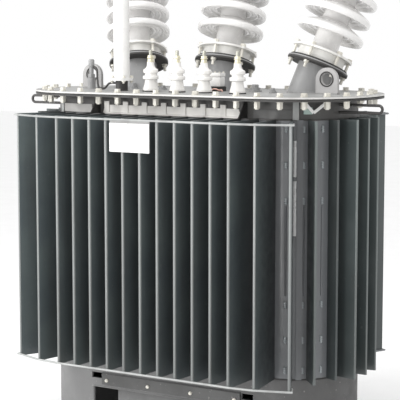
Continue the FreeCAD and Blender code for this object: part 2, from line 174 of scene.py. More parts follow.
# ---------------------------------------------------------------- finishes
class ShaderGraph:
    """One material and the few kinds of node that the finishes are made of."""

    def __init__(self, name: str) -> None:
        """Starts an empty material with a Principled shader.

        Args:
            name: The material's name.
        """
        self.material = bpy.data.materials.new(name)
        self.material.use_nodes = True
        self.tree = self.material.node_tree
        self.tree.nodes.clear()
        output = self.tree.nodes.new("ShaderNodeOutputMaterial")
        self.shader = self.tree.nodes.new("ShaderNodeBsdfPrincipled")
        self.tree.links.new(self.shader.outputs["BSDF"], output.inputs["Surface"])
        self.coordinates = self.tree.nodes.new("ShaderNodeTexCoord").outputs["Object"]

    def feed(self, socket: bpy.types.NodeSocket, value: object) -> None:
        """Links a socket into another, or sets its default.

        Args:
            socket: The socket that is fed.
            value: A socket, or the value of its default.
        """
        if isinstance(value, bpy.types.NodeSocket):
            self.tree.links.new(value, socket)
        else:
            socket.default_value = value

    def noise(
        self, scale: float, detail: float = 5.0, stretch: Point = (1.0, 1.0, 1.0),
    ) -> bpy.types.NodeSocket:
        """Noise in the object's own metres.

        Args:
            scale: Size of the pattern, larger is finer.
            detail: Octaves.
            stretch: Scale along each axis, for runs and grain.

        Returns:
            The noise value.
        """
        mapping = self.tree.nodes.new("ShaderNodeMapping")
        mapping.inputs["Scale"].default_value = stretch
        self.feed(mapping.inputs["Vector"], self.coordinates)
        node = self.tree.nodes.new("ShaderNodeTexNoise")
        node.inputs["Scale"].default_value = scale
        node.inputs["Detail"].default_value = detail
        self.feed(node.inputs["Vector"], mapping.outputs["Vector"])
        return node.outputs["Fac"]

    def axis(self, name: str) -> bpy.types.NodeSocket:
        """Splits off one of the object's coordinates.

        Args:
            name: X, Y or Z.

        Returns:
            The coordinate.
        """
        node = self.tree.nodes.new("ShaderNodeSeparateXYZ")
        self.feed(node.inputs["Vector"], self.coordinates)
        return node.outputs[name]

    def maths(self, operation: str, first: object, second: object = 0.0) -> bpy.types.NodeSocket:
        """Adds a Math node.

        Args:
            operation: Its operation.
            first: Its first value or socket.
            second: Its second value or socket.

        Returns:
            The result.
        """
        node = self.tree.nodes.new("ShaderNodeMath")
        node.operation = operation
        self.feed(node.inputs[0], first)
        self.feed(node.inputs[1], second)
        return node.outputs["Value"]

    def remap(
        self, value: object, low: float, high: float, to_low: float = 0.0, to_high: float = 1.0,
    ) -> bpy.types.NodeSocket:
        """Smoothly maps a range onto another, clamped.

        Args:
            value: What is mapped.
            low: Start of its range.
            high: End of its range.
            to_low: Result at the start.
            to_high: Result at the end.

        Returns:
            The mapped value.
        """
        node = self.tree.nodes.new("ShaderNodeMapRange")
        self.feed(node.inputs["Value"], value)
        for name, number in (("From Min", low), ("From Max", high), ("To Min", to_low), ("To Max", to_high)):
            node.inputs[name].default_value = number
        return node.outputs["Result"]

    def blend(self, share: object, first: object, second: object, mode: str = "MIX") -> bpy.types.NodeSocket:
        """Mixes two colours.

        Args:
            share: Share of the second colour.
            first: A colour or a socket.
            second: A colour or a socket.
            mode: The node's blend mode.

        Returns:
            The mixed colour.
        """
        node = self.tree.nodes.new("ShaderNodeMix")
        node.data_type = "RGBA"
        node.blend_type = mode
        self.feed(node.inputs[0], share)
        for index, value in ((6, first), (7, second)):
            self.feed(node.inputs[index], (*value, 1.0) if isinstance(value, tuple) else value)
        return node.outputs[2]

    def bump(self, height: object, strength: float, distance: float) -> None:
        """Adds a bump to the shader.

        Args:
            height: Height of the relief, from 0 to 1.
            strength: Strength of the bump.
            distance: Depth of the relief in metres.
        """
        node = self.tree.nodes.new("ShaderNodeBump")
        node.inputs["Strength"].default_value = strength
        node.inputs["Distance"].default_value = distance
        self.feed(node.inputs["Height"], height)
        self.feed(self.shader.inputs["Normal"], node.outputs["Normal"])


@dataclass(frozen=True)
class Finish:
    """A worn, mottled surface; every other finish is a variation of it."""

    name: str
    base: Colour
    second: Colour
    rough: float = 0.5
    metallic: float = 0.0
    coat: float = 0.0
    # colour of the grime runs, and of the painted shade toward the right end
    grime_and_shade: Colour = (0.06, 0.055, 0.05)
    grime_share: float = 0.35
    wear: Colour = (0.5, 0.49, 0.46)
    wear_share: float = 0.25
    # painted shade: how much the right (+X) end darkens
    right_end_shade: float = 0.0
    patch_scale: float = 5.0
    grain_scale: float = 160.0
    bump_depth: float = 0.0006
    run_scale: float = 16.0
    run_stretch: Point = (1.0, 1.0, 0.1)
    chip_scale: float = 70.0
    gloss_scale: float = 24.0
    gloss_swing: float = 0.09
    least_rough: float = 0.03
    coat_rough: float = 0.12
    # span along X over which that painted shade grows
    right_shade_from: float = -0.5
    right_shade_to: float = 0.6

    def tint(self, graph: ShaderGraph) -> bpy.types.NodeSocket:
        """Colour of the clean surface before grime and wear."""
        return graph.blend(graph.remap(graph.noise(self.patch_scale), 0.35, 0.65), self.base, self.second)

    def relief(self, graph: ShaderGraph) -> bpy.types.NodeSocket:
        """Height of the surface's own texture."""
        return graph.noise(self.grain_scale, 3.0)

    def material(self) -> bpy.types.Material:
        """Builds the material.

        Returns:
            A Principled material with colour, roughness and relief from noise.
        """
        graph = ShaderGraph(self.name)
        runs = graph.noise(self.run_scale, 6.0, self.run_stretch)
        chips = graph.noise(self.chip_scale, 8.0)
        soiled = graph.maths("MULTIPLY", graph.remap(runs, 0.5, 0.78), self.grime_share)
        worn = graph.maths("MULTIPLY", graph.remap(chips, 0.66, 0.72), self.wear_share)
        # painted shade: darker toward the right (+X) end, away from the light
        painted_right_shade = graph.remap(graph.axis("X"), self.right_shade_from, self.right_shade_to, 0.0, self.right_end_shade)
        colour = graph.blend(painted_right_shade, self.tint(graph), self.grime_and_shade)
        colour = graph.blend(soiled, colour, self.grime_and_shade)
        colour = graph.blend(worn, colour, self.wear)
        graph.feed(graph.shader.inputs["Base Color"], colour)
        smoothest = max(self.rough - self.gloss_swing, self.least_rough)
        rough = graph.remap(graph.noise(self.gloss_scale), 0.3, 0.7, smoothest, self.rough + self.gloss_swing)
        graph.feed(graph.shader.inputs["Roughness"], rough)
        graph.shader.inputs["Metallic"].default_value = self.metallic
        graph.shader.inputs["Coat Weight"].default_value = self.coat
        graph.shader.inputs["Coat Roughness"].default_value = self.coat_rough
        graph.bump(self.relief(graph), 0.5, self.bump_depth)
        return graph.material


@dataclass(frozen=True)
class FinFinish(Finish):
    """Paint darkened by painted shade toward the wall and the ground, with a painted highlight far from the
    corners' centres.

    On the fins that painted highlight is on their noses, and on the cover plate it is on the plate's rim.
    """

    corner_x: float = TANK.corner.x
    corner_y: float = TANK.corner.y
    root: float = TANK_CORNER_RADIUS
    nose: float = 0.478
    nose_fade: float = 0.003
    # painted highlight: pale colour on the fin noses and the cover plate's rim, where the light catches them
    nose_highlight: Colour = (0.26, 0.275, 0.27)
    # painted shade on the noses near the ground
    low_nose_shade: Colour = (0.06, 0.065, 0.065)
    low_nose_shade_share: float = 0.55
    # painted shade: colour that the fins darken toward, near the wall and near the ground
    painted_shade: Colour = (0.012, 0.013, 0.014)
    root_share: float = 0.2
    low_share: float = 0.7
    shade_bottom: float = 0.4
    shade_top: float = 1.45

    def beyond(self, graph: ShaderGraph, name: str, limit: float) -> bpy.types.NodeSocket:
        """Measures how far a coordinate lies past a limit on either side.

        Args:
            graph: The material that the nodes go into.
            name: X or Y.
            limit: The limit.

        Returns:
            The distance, or 0 between the limits.
        """
        return graph.maths(
            "MAXIMUM", graph.maths("SUBTRACT", graph.maths("ABSOLUTE", graph.axis(name)), limit),
        )

    def tint(self, graph: ShaderGraph) -> bpy.types.NodeSocket:
        """Mixes the paint, darkened by painted shade, with the painted highlight.

        Args:
            graph: The material that the nodes go into.

        Returns:
            Colour of the clean surface.
        """
        paint = Finish.tint(self, graph)
        over_x = self.beyond(graph, "X", self.corner_x)
        over_y = self.beyond(graph, "Y", self.corner_y)
        square = graph.maths(
            "ADD", graph.maths("MULTIPLY", over_x, over_x), graph.maths("MULTIPLY", over_y, over_y),
        )
        reach = graph.maths("SQRT", square)
        # painted shade: darker toward the wall and toward the ground
        shade = graph.maths(
            "MULTIPLY",
            graph.remap(reach, self.root, self.nose, self.root_share, 1.0),
            graph.remap(graph.axis("Z"), self.shade_bottom, self.shade_top, self.low_share, 1.0),
        )
        dark = graph.blend(graph.maths("SUBTRACT", 1.0, shade), paint, self.painted_shade)
        # painted shade: the noses darken toward the ground
        low = graph.remap(graph.axis("Z"), self.shade_bottom, self.shade_top, self.low_nose_shade_share, 0.0)
        nose = graph.blend(low, self.nose_highlight, self.low_nose_shade)
        # painted highlight on the part far from the corners' centres
        return graph.blend(graph.remap(reach, self.nose, self.nose + self.nose_fade), dark, nose)


@dataclass(frozen=True)
class ThreadFinish(Finish):
    """Plated steel or brass with a fine thread."""

    pitch: float = 0.0022
    thread_share: float = 0.25

    def relief(self, graph: ShaderGraph) -> bpy.types.NodeSocket:
        """Adds the turns of a thread, across the bolt's height, to the surface's texture.

        Args:
            graph: The material that the nodes go into.

        Returns:
            Height of the relief.
        """
        turns = graph.maths("SINE", graph.maths("MULTIPLY", graph.axis("Z"), 2 * math.pi / self.pitch))
        return graph.maths(
            "ADD", graph.maths("MULTIPLY", turns, self.thread_share), graph.noise(self.grain_scale, 3.0),
        )


class Finishes(Enum):
    """Every finish on the transformer."""

    FINS = FinFinish(
        "fin_paint", (0.125, 0.150, 0.150), (0.098, 0.118, 0.124), 0.40, coat=0.25, wear_share=0.08,
    )
    # painted shade: darker copies of the fin paint for the rear and end fins, which get less light
    REAR_FINS = FinFinish(
        "rear_fin_painted_shade", (0.080, 0.096, 0.096), (0.062, 0.077, 0.077), 0.40, coat=0.25, wear_share=0.08,
        nose_highlight=(0.20, 0.21, 0.207),
    )
    END_FINS = FinFinish(
        "end_fin_painted_shade", (0.080, 0.096, 0.096), (0.062, 0.077, 0.077), 0.40, coat=0.25, wear_share=0.08,
        nose=0.335, nose_highlight=(0.15, 0.175, 0.17), root_share=0.55,
    )
    WALL = Finish(
        "wall_paint", (0.165, 0.172, 0.180), (0.135, 0.142, 0.150), 0.38, coat=0.35, patch_scale=3.0,
        wear_share=0.08,
    )
    # painted highlight: paler, glossier copy of the wall paint that stands for the light on the raised
    # dimples
    SPOTS = Finish("spot_painted_highlight", (0.34, 0.37, 0.38), (0.26, 0.285, 0.295), 0.22, coat=0.7, wear_share=0.0)
    # painted light: pale copy of the tank paint for the front fin rods and the corner tabs, which face the
    # light
    RODS = Finish(
        "rod_painted_light", (0.40, 0.41, 0.40), (0.31, 0.32, 0.315), 0.42, wear_share=0.4, wear=(0.22, 0.20, 0.18),
    )
    # painted shade: the base darkens toward its right end
    BASE = Finish(
        "base_paint", (0.185, 0.185, 0.184), (0.140, 0.140, 0.140), 0.55, grime_and_shade=(0.052, 0.051, 0.051),
        grime_share=0.3, right_end_shade=0.8, patch_scale=3.2, wear_share=0.3,
    )
    BEAM = Finish(
        "beam_paint", (0.095, 0.095, 0.094), (0.070, 0.070, 0.069), 0.5, grime_and_shade=(0.04, 0.04, 0.04),
        wear_share=0.35,
    )
    # painted shade: near-black paint that stands for the shadow under the cover, on the upper belt and the
    # wall seams
    BELT = Finish("belt_painted_shade", (0.085, 0.083, 0.080), (0.060, 0.058, 0.056), 0.5, wear_share=0.2)
    # painted light and shade: copies of one pale paint, half lit at the left corners, in shade at the right
    # corners and fully lit at the front and back
    LEFT_APRON = Finish("left_apron_painted_light", (0.46, 0.45, 0.43), (0.36, 0.35, 0.34), 0.5, wear_share=0.2)
    RIGHT_APRON = Finish(
        "right_apron_painted_shade", (0.115, 0.115, 0.113), (0.080, 0.080, 0.078), 0.5, wear_share=0.2,
    )
    APRON = Finish(
        "apron_painted_light", (0.84, 0.82, 0.78), (0.72, 0.70, 0.67), 0.45, grime_and_shade=(0.32, 0.30, 0.27),
        wear_share=0.2,
    )
    LUGS = Finish("lug_paint", (0.46, 0.45, 0.445), (0.38, 0.375, 0.37), 0.45, grime_share=0.3)
    # painted highlight: pale rim on the cover plate
    PLATE_TOP = FinFinish(
        "cover_plate_paint", (0.35, 0.35, 0.342), (0.275, 0.275, 0.27), 0.48, grime_and_shade=(0.16, 0.15, 0.14),
        grime_share=0.4, wear_share=0.3, wear=(0.62, 0.6, 0.57), nose=0.3495,
        nose_highlight=(0.66, 0.65, 0.63), root_share=1.0, low_share=1.0,
    )
    COVER = Finish(
        "cover_paint", (0.30, 0.30, 0.292), (0.235, 0.235, 0.23), 0.48, grime_and_shade=(0.16, 0.15, 0.14),
        grime_share=0.4, wear_share=0.3, wear=(0.62, 0.6, 0.57),
    )
    TURRET = Finish(
        "turret_paint", (0.345, 0.345, 0.345), (0.29, 0.29, 0.29), 0.42, coat=0.2, grime_share=0.25,
    )
    # painted shade: near-black paint for the shadow under the tank flange and the turret flanges, and inside
    # the lifting eyes
    FLANGE = Finish(
        "shade_black_paint", (0.030, 0.029, 0.028), (0.050, 0.048, 0.046), 0.6, wear_share=0.15,
        wear=(0.2, 0.19, 0.18),
    )
    DARK = Finish(
        "dark_steel", (0.045, 0.043, 0.042), (0.075, 0.072, 0.07), 0.5, metallic=0.35, wear_share=0.4,
    )
    ZINC = ThreadFinish(
        "zinc_plate", (0.78, 0.76, 0.69), (0.66, 0.64, 0.58), 0.38, metallic=0.25, grime_and_shade=(0.36, 0.30, 0.22),
        grime_share=0.3, wear=(0.9, 0.89, 0.84),
    )
    CASTING = Finish(
        "ring_casting", (0.86, 0.85, 0.82), (0.76, 0.75, 0.72), 0.5, grime_and_shade=(0.3, 0.29, 0.27), grime_share=0.3,
        grain_scale=220.0, bump_depth=0.0012,
    )
    PORCELAIN = Finish(
        "glazed_porcelain", (0.78, 0.77, 0.76), (0.73, 0.72, 0.71), 0.24, coat=0.45, grime_and_shade=(0.58, 0.56, 0.53),
        grime_share=0.15, wear_share=0.03, bump_depth=0.0003, grain_scale=60.0,
    )
    SMALL_PORCELAIN = Finish(
        "small_porcelain", (0.86, 0.845, 0.82), (0.80, 0.785, 0.76), 0.18, coat=0.6, grime_and_shade=(0.5, 0.47, 0.43),
        grime_share=0.2, wear_share=0.05, bump_depth=0.0003, grain_scale=60.0,
    )
    RUBBER = Finish("seal_rubber", (0.02, 0.02, 0.02), (0.035, 0.034, 0.033), 0.75, wear_share=0.1)
    BRASS = ThreadFinish(
        "stud_brass", (0.80, 0.76, 0.58), (0.66, 0.62, 0.48), 0.36, metallic=0.5, pitch=0.002,
    )
    STUD = ThreadFinish("dull_stud", (0.42, 0.42, 0.36), (0.55, 0.54, 0.47), 0.4, metallic=0.5, pitch=0.002)
    COPPER = Finish("copper_strap", (0.78, 0.48, 0.40), (0.66, 0.38, 0.31), 0.4, metallic=0.3)
    TUBE = Finish(
        "tube_paint", (0.82, 0.815, 0.80), (0.76, 0.755, 0.74), 0.3, coat=0.3, grime_and_shade=(0.5, 0.49, 0.46),
        grime_share=0.2, wear_share=0.08,
    )
    SWITCH = Finish("switch_cover", (0.88, 0.87, 0.85), (0.80, 0.79, 0.77), 0.45, grime_share=0.15)
    PLATE = Finish(
        "bare_plate", (0.79, 0.79, 0.79), (0.75, 0.75, 0.75), 0.3, metallic=0.15, grime_and_shade=(0.6, 0.59, 0.57),
        grime_share=0.25, wear=(0.7, 0.69, 0.68), wear_share=0.3,
    )
    PAD = Finish("earth_pad", (0.40, 0.50, 0.46), (0.32, 0.42, 0.39), 0.5)
    FLOOR = Finish(
        "studio_floor", (0.93, 0.93, 0.93), (0.91, 0.91, 0.91), 0.85, grime_share=0.0, wear_share=0.0,
    )


class Wardrobe:
    """Builds each material once."""

    def __init__(self) -> None:
        """Starts empty."""
        self.made: dict[Finishes, bpy.types.Material] = {}

    def get(self, finish: Finishes) -> bpy.types.Material:
        """Gives the material of a finish, which is built the first time.

        Args:
            finish: The finish.

        Returns:
            Its material.
        """
        if finish not in self.made:
            self.made[finish] = finish.value.material()
        return self.made[finish]


wardrobe = Wardrobe()


# ---------------------------------------------------------------- making pieces
class Slot(Enum):
    """The record's material slots that calls name for new pieces; nothing applies them."""

    COVER_PAINT = "cover_paint"
    TANK_PAINT = "tank_paint"
    DARK_METAL = "dark_metal"
    BRIGHT_STEEL = "bright_steel"
    CLAMP_CASTING = "clamp_casting"
    PORCELAIN = "porcelain"
    STUD_BRASS = "stud_brass"
    SWITCH_COVER = "switch_cover"
    NAMEPLATE_METAL = "nameplate_metal"


def finished(
    mesh: bpy.types.Mesh, name: str, finish: Finishes, slot: Slot, smooth_angle: float = 32.0,
) -> bpy.types.Object:
    """Turns a mesh into a piece that rides on the part's one body.

    Args:
        mesh: Mesh with its place in its vertices.
        name: The piece's name.
        finish: Its finish.
        slot: The record's material slot; not used.
        smooth_angle: Edges sharper than this, in degrees, stay sharp.

    Returns:
        The piece.
    """
    if not mesh.materials:
        mesh.materials.append(wardrobe.get(finish))
    mesh.shade_smooth()
    mesh.set_sharp_from_angle(angle=math.radians(smooth_angle))
    piece = bpy.data.objects.new(name, mesh)
    bpy.context.scene.collection.objects.link(piece)
    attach(piece, "root")
    log.info("%s: %d faces", name, len(mesh.polygons))
    return piece


def basis(origin: Vector, up: Vector, side: Optional[Vector] = None) -> Matrix:
    """A frame whose Z runs along up.

    Args:
        origin: Where the frame stands.
        up: Direction of its Z.
        side: Direction that its X keeps close to.

    Returns:
        The matrix.
    """
    z = up.normalized()
    guide = side if side is not None else (Vector((1, 0, 0)) if abs(z.x) < 0.9 else Vector((0, 1, 0)))
    y = z.cross(guide).normalized()
    x = y.cross(z)
    matrix = Matrix((x, y, z)).transposed().to_4x4()
    matrix.translation = origin
    return matrix


class Shape:
    """A mesh under construction, gathered from turned, boxed and bent forms."""

    on_axis: float = 1e-6
    tube_guide: Vector = Vector((0.31, 0.17, 0.93))  # a direction that no bar runs along

    def __init__(self) -> None:
        """Starts an empty mesh."""
        self.bm = bmesh.new()

    def turned(self, profile: Sequence[tuple[float, float]], place: Matrix, segments: int = 48) -> "Shape":
        """Adds a form turned about Z.

        Args:
            profile: (radius, height) from the bottom of the axis round the outside to its top.
            place: Where the form stands.
            segments: Steps round the axis.

        Returns:
            This shape.
        """
        rings = []
        for radius, height in profile:
            if radius < self.on_axis:
                rings.append([self.bm.verts.new(place @ Vector((0, 0, height)))])
                continue
            ring = []
            for step in range(segments):
                turn = 2 * math.pi * step / segments
                point = Vector((radius * math.cos(turn), radius * math.sin(turn), height))
                ring.append(self.bm.verts.new(place @ point))
            rings.append(ring)
        for low, high in zip(rings, rings[1:]):
            for step in range(segments):
                after = (step + 1) % segments
                lower = (low[step % len(low)], low[after % len(low)])
                upper = (high[after % len(high)], high[step % len(high)])
                unique = list(dict.fromkeys(lower + upper))
                if len(unique) > 2:
                    self.bm.faces.new(unique)
        return self

    def block(self, size: Point, place: Matrix, bevel: float = 0.0) -> "Shape":
        """Adds a box centred on a frame.

        Args:
            size: Its size along the frame's axes.
            place: Its frame.
            bevel: Width of the rounding of its edges.

        Returns:
            This shape.
        """
        made = bmesh.ops.create_cube(self.bm, size=1.0, matrix=place @ Matrix.Diagonal((*size, 1.0)))
        if bevel:
            edges = {edge for vert in made["verts"] for edge in vert.link_edges}
            bmesh.ops.bevel(self.bm, geom=list(edges), offset=bevel, segments=2, profile=0.6, affect="EDGES")
        return self

    def slab(self, outline: Sequence[Vector], thickness: Vector) -> "Shape":
        """Adds a flat plate.

        Args:
            outline: Its corners.
            thickness: Vector from one face to the other.

        Returns:
            This shape.
        """
        near = [self.bm.verts.new(point) for point in outline]
        far = [self.bm.verts.new(point + thickness) for point in outline]
        faces = [self.bm.faces.new(near), self.bm.faces.new(list(reversed(far)))]
        for index in range(len(near)):
            after = (index + 1) % len(near)
            faces.append(self.bm.faces.new((near[index], far[index], far[after], near[after])))
        bmesh.ops.recalc_face_normals(self.bm, faces=faces)
        return self

    def tube(self, points: Sequence[Vector], radius: float, sides: int = 10) -> "Shape":
        """Adds a round bar along a line of points, with closed ends.

        Args:
            points: The bar's centreline.
            radius: Its radius.
            sides: Steps round the bar.

        Returns:
            This shape.
        """
        rings = []
        for index, point in enumerate(points):
            before = points[max(index - 1, 0)]
            after = points[min(index + 1, len(points) - 1)]
            section = basis(point, after - before, self.tube_guide)
            ring = []
            for step in range(sides):
                turn = 2 * math.pi * step / sides
                spot = Vector((radius * math.cos(turn), radius * math.sin(turn), 0))
                ring.append(self.bm.verts.new(section @ spot))
            rings.append(ring)
        faces = [self.bm.faces.new(rings[0]), self.bm.faces.new(rings[-1])]
        for low, high in zip(rings, rings[1:]):
            for step in range(sides):
                after = (step + 1) % sides
                faces.append(self.bm.faces.new((low[step], low[after], high[after], high[step])))
        bmesh.ops.recalc_face_normals(self.bm, faces=faces)
        return self

    def piece(self, name: str, finish: Finishes, slot: Slot, smooth_angle: float = 32.0) -> bpy.types.Object:
        """Closes the shape, with its faces outward, into a finished piece.

        Args:
            name: The piece's name.
            finish: Its finish.
            slot: The record's material slot.
            smooth_angle: Edges sharper than this, in degrees, stay sharp.

        Returns:
            The piece.
        """
        bmesh.ops.recalc_face_normals(self.bm, faces=self.bm.faces)
        mesh = bpy.data.meshes.new(name)
        self.bm.to_mesh(mesh)
        self.bm.free()
        return finished(mesh, name, finish, slot, smooth_angle)


def smooth_profile(points: Sequence[tuple[float, float]], steps: int = 4) -> list[tuple[float, float]]:
    """Rounds a profile with a Catmull-Rom curve through its points.

    Args:
        points: (radius, height) pairs.
        steps: Pieces per span.

    Returns:
        The finer profile, with no negative radius.
    """
    result = []
    for index in range(len(points) - 1):
        p0 = Vector(points[max(index - 1, 0)])
        p1 = Vector(points[index])
        p2 = Vector(points[index + 1])
        p3 = Vector(points[min(index + 2, len(points) - 1)])
        for step in range(steps):
            t = step / steps
            squared = (2 * p0 - 5 * p1 + 4 * p2 - p3) * t * t
            cubed = (3 * p1 - p0 - 3 * p2 + p3) * t**3
            value = 0.5 * (2 * p1 + (p2 - p0) * t + squared + cubed)
            result.append((max(value.x, 0.0), value.y))
    result.append(tuple(points[-1]))
    return result


# ---------------------------------------------------------------- what repeats
class Repeater:
    """A Geometry Nodes tree that puts one small form on every point of a mesh, turned to the point's aim."""

    inputs: tuple[tuple[str, str, float], ...] = ()
    smooth_angle: float = 25.0

    def __init__(self, title: str) -> None:
        """Builds the tree once.

        Args:
            title: The tree's name.
        """
        self.tree = bpy.data.node_groups.new(title, "GeometryNodeTree")
        side = self.tree.interface
        side.new_socket("Geometry", in_out="INPUT", socket_type="NodeSocketGeometry")
        side.new_socket("Geometry", in_out="OUTPUT", socket_type="NodeSocketGeometry")
        for name, kind, value in self.inputs:
            side.new_socket(name, in_out="INPUT", socket_type=kind).default_value = value
        side.new_socket("Material", in_out="INPUT", socket_type="NodeSocketMaterial")
        self.start = self.node("NodeGroupInput")
        self.build()

    def node(self, kind: str, **settings: object) -> bpy.types.Node:
        """Adds a node.

        Args:
            kind: The node's type.
            **settings: Its properties.

        Returns:
            The node.
        """
        made = self.tree.nodes.new(kind)
        for name, value in settings.items():
            setattr(made, name, value)
        return made

    def join(self, source: object, target: bpy.types.NodeSocket) -> None:
        """Links a socket into another, or sets its default.

        Args:
            source: A socket, or the value of the default.
            target: The socket that is fed.
        """
        if isinstance(source, bpy.types.NodeSocket):
            self.tree.links.new(source, target)
        else:
            target.default_value = source

    def given(self, name: str) -> bpy.types.NodeSocket:
        """One of the tree's named inputs."""
        return self.start.outputs[name]

    def maths(self, operation: str, first: object, second: object) -> bpy.types.NodeSocket:
        """Adds a Math node.

        Args:
            operation: Its operation.
            first: Its first value or socket.
            second: Its second value or socket.

        Returns:
            The result.
        """
        made = self.node("ShaderNodeMath", operation=operation)
        self.join(first, made.inputs[0])
        self.join(second, made.inputs[1])
        return made.outputs[0]

    def drum(self, sides: int, radius: object, depth: object, centre: object) -> bpy.types.NodeSocket:
        """Adds a prism or cylinder on the Z axis.

        Args:
            sides: Its number of sides.
            radius: Its radius, as a value or a socket.
            depth: Its height, as a value or a socket.
            centre: Height of its middle, as a value or a socket.

        Returns:
            Its geometry.
        """
        made = self.node("GeometryNodeMeshCylinder")
        made.inputs["Vertices"].default_value = sides
        self.join(radius, made.inputs["Radius"])
        self.join(depth, made.inputs["Depth"])
        moved = self.node("GeometryNodeTransform")
        offset = self.node("ShaderNodeCombineXYZ")
        self.join(centre, offset.inputs["Z"])
        self.join(offset.outputs["Vector"], moved.inputs["Translation"])
        self.join(made.outputs["Mesh"], moved.inputs["Geometry"])
        return moved.outputs["Geometry"]

    def form(self) -> Iterable[bpy.types.NodeSocket]:
        """The small form's pieces, upright on the origin."""
        raise NotImplementedError

    def build(self) -> None:
        """Joins the form, puts it on the points, turns it and gives it its material."""
        together = self.node("GeometryNodeJoinGeometry")
        for piece in self.form():
            self.join(piece, together.inputs["Geometry"])
        aim = self.node("GeometryNodeInputNamedAttribute", data_type="FLOAT_VECTOR")
        aim.inputs["Name"].default_value = "aim"
        toward = self.node("FunctionNodeAlignRotationToVector", axis="Z")
        self.join(aim.outputs["Attribute"], toward.inputs["Vector"])
        chance = self.node("FunctionNodeRandomValue", data_type="FLOAT")
        chance.inputs["Seed"].default_value = SEED
        spin = self.node("FunctionNodeAxisAngleToRotation")
        spin.inputs["Axis"].default_value = (0.0, 0.0, 1.0)
        self.join(self.maths("MULTIPLY", chance.outputs[1], self.given("Spin")), spin.inputs["Angle"])
        turned = self.node("FunctionNodeRotateRotation", rotation_space="LOCAL")
        self.join(toward.outputs["Rotation"], turned.inputs["Rotation"])
        self.join(spin.outputs["Rotation"], turned.inputs["Rotate By"])
        placed = self.node("GeometryNodeInstanceOnPoints")
        self.join(self.given("Geometry"), placed.inputs["Points"])
        self.join(together.outputs["Geometry"], placed.inputs["Instance"])
        self.join(turned.outputs["Rotation"], placed.inputs["Rotation"])
        real = self.node("GeometryNodeRealizeInstances")
        self.join(placed.outputs["Instances"], real.inputs["Geometry"])
        painted = self.node("GeometryNodeSetMaterial")
        self.join(real.outputs["Geometry"], painted.inputs["Geometry"])
        self.join(self.given("Material"), painted.inputs["Material"])
        self.join(painted.outputs["Geometry"], self.node("NodeGroupOutput").inputs["Geometry"])

    def place(
        self, name: str, points: Sequence[tuple[Vector, Vector]], finish: Finishes, slot: Slot, **sizes: float
    ) -> bpy.types.Object:
        """Puts the form on points and makes one plain piece of it.

        Args:
            name: The piece's name.
            points: Each place with its aim.
            finish: The finish.
            slot: The record's material slot.
            **sizes: Values of the tree's inputs, with underscores for spaces.

        Returns:
            The piece.
        """
        seeds = bpy.data.meshes.new(name + "_seeds")
        seeds.from_pydata([point for point, _ in points], [], [])
        aims = seeds.attributes.new("aim", "FLOAT_VECTOR", "POINT")
        aims.data.foreach_set("vector", [number for _, aim in points for number in aim])
        holder = bpy.data.objects.new(name + "_seeds", seeds)
        bpy.context.scene.collection.objects.link(holder)
        modifier = holder.modifiers.new("repeat", "NODES")
        modifier.node_group = self.tree
        sockets = self.tree.interface.items_tree
        named = {socket.name: socket.identifier for socket in sockets if socket.in_out == "INPUT"}
        for key, value in sizes.items():
            modifier[named[key.replace("_", " ")]] = value
        modifier[named["Material"]] = wardrobe.get(finish)
        evaluated = holder.evaluated_get(bpy.context.evaluated_depsgraph_get())
        mesh = bpy.data.meshes.new_from_object(evaluated)
        mesh.name = name
        holder.modifiers.remove(modifier)
        bpy.data.objects.remove(holder)
        return finished(mesh, name, finish, slot, self.smooth_angle)


class BoltRepeater(Repeater):
    """Hexagon bolt with a washer on the seat, a plain shank below it and a nut with a washer."""

    inputs = (
        ("Head Radius", "NodeSocketFloat", 0.014),
        ("Head Height", "NodeSocketFloat", 0.011),
        ("Shank Radius", "NodeSocketFloat", 0.008),
        ("Below", "NodeSocketFloat", 0.05),
        ("Above", "NodeSocketFloat", 0.0),
        ("Nut Level", "NodeSocketFloat", 0.03),
        ("Nut Height", "NodeSocketFloat", 0.013),
        ("Spin", "NodeSocketFloat", 1.0),
    )
    washer: float = 0.003
    washer_spread: float = 1.18
    crown_spread: float = 0.82
    crown_height: float = 0.16

    def form(self) -> Iterable[bpy.types.NodeSocket]:
        """Washer, head, crown, shank, nut and lower washer.

        Yields:
            The geometry of each.
        """
        radius = self.given("Head Radius")
        height = self.given("Head Height")
        washer = self.washer
        washer_radius = self.maths("MULTIPLY", radius, self.washer_spread)
        yield self.drum(20, washer_radius, washer, washer / 2)
        yield self.drum(6, radius, height, self.maths("ADD", self.maths("MULTIPLY", height, 0.5), washer))
        crown_radius = self.maths("MULTIPLY", radius, self.crown_spread)
        crown_height = self.maths("MULTIPLY", height, self.crown_height)
        yield self.drum(16, crown_radius, crown_height, self.maths("ADD", height, washer))
        length = self.maths("ADD", self.given("Below"), self.given("Above"))
        centre = self.maths("MULTIPLY", self.maths("SUBTRACT", self.given("Above"), self.given("Below")), 0.5)
        yield self.drum(12, self.given("Shank Radius"), length, centre)
        level = self.given("Nut Level")
        nut = self.given("Nut Height")
        yield self.drum(6, radius, nut, self.maths("SUBTRACT", self.maths("MULTIPLY", nut, -0.5), level))
        yield self.drum(20, washer_radius, washer, self.maths("SUBTRACT", -washer / 2, level))


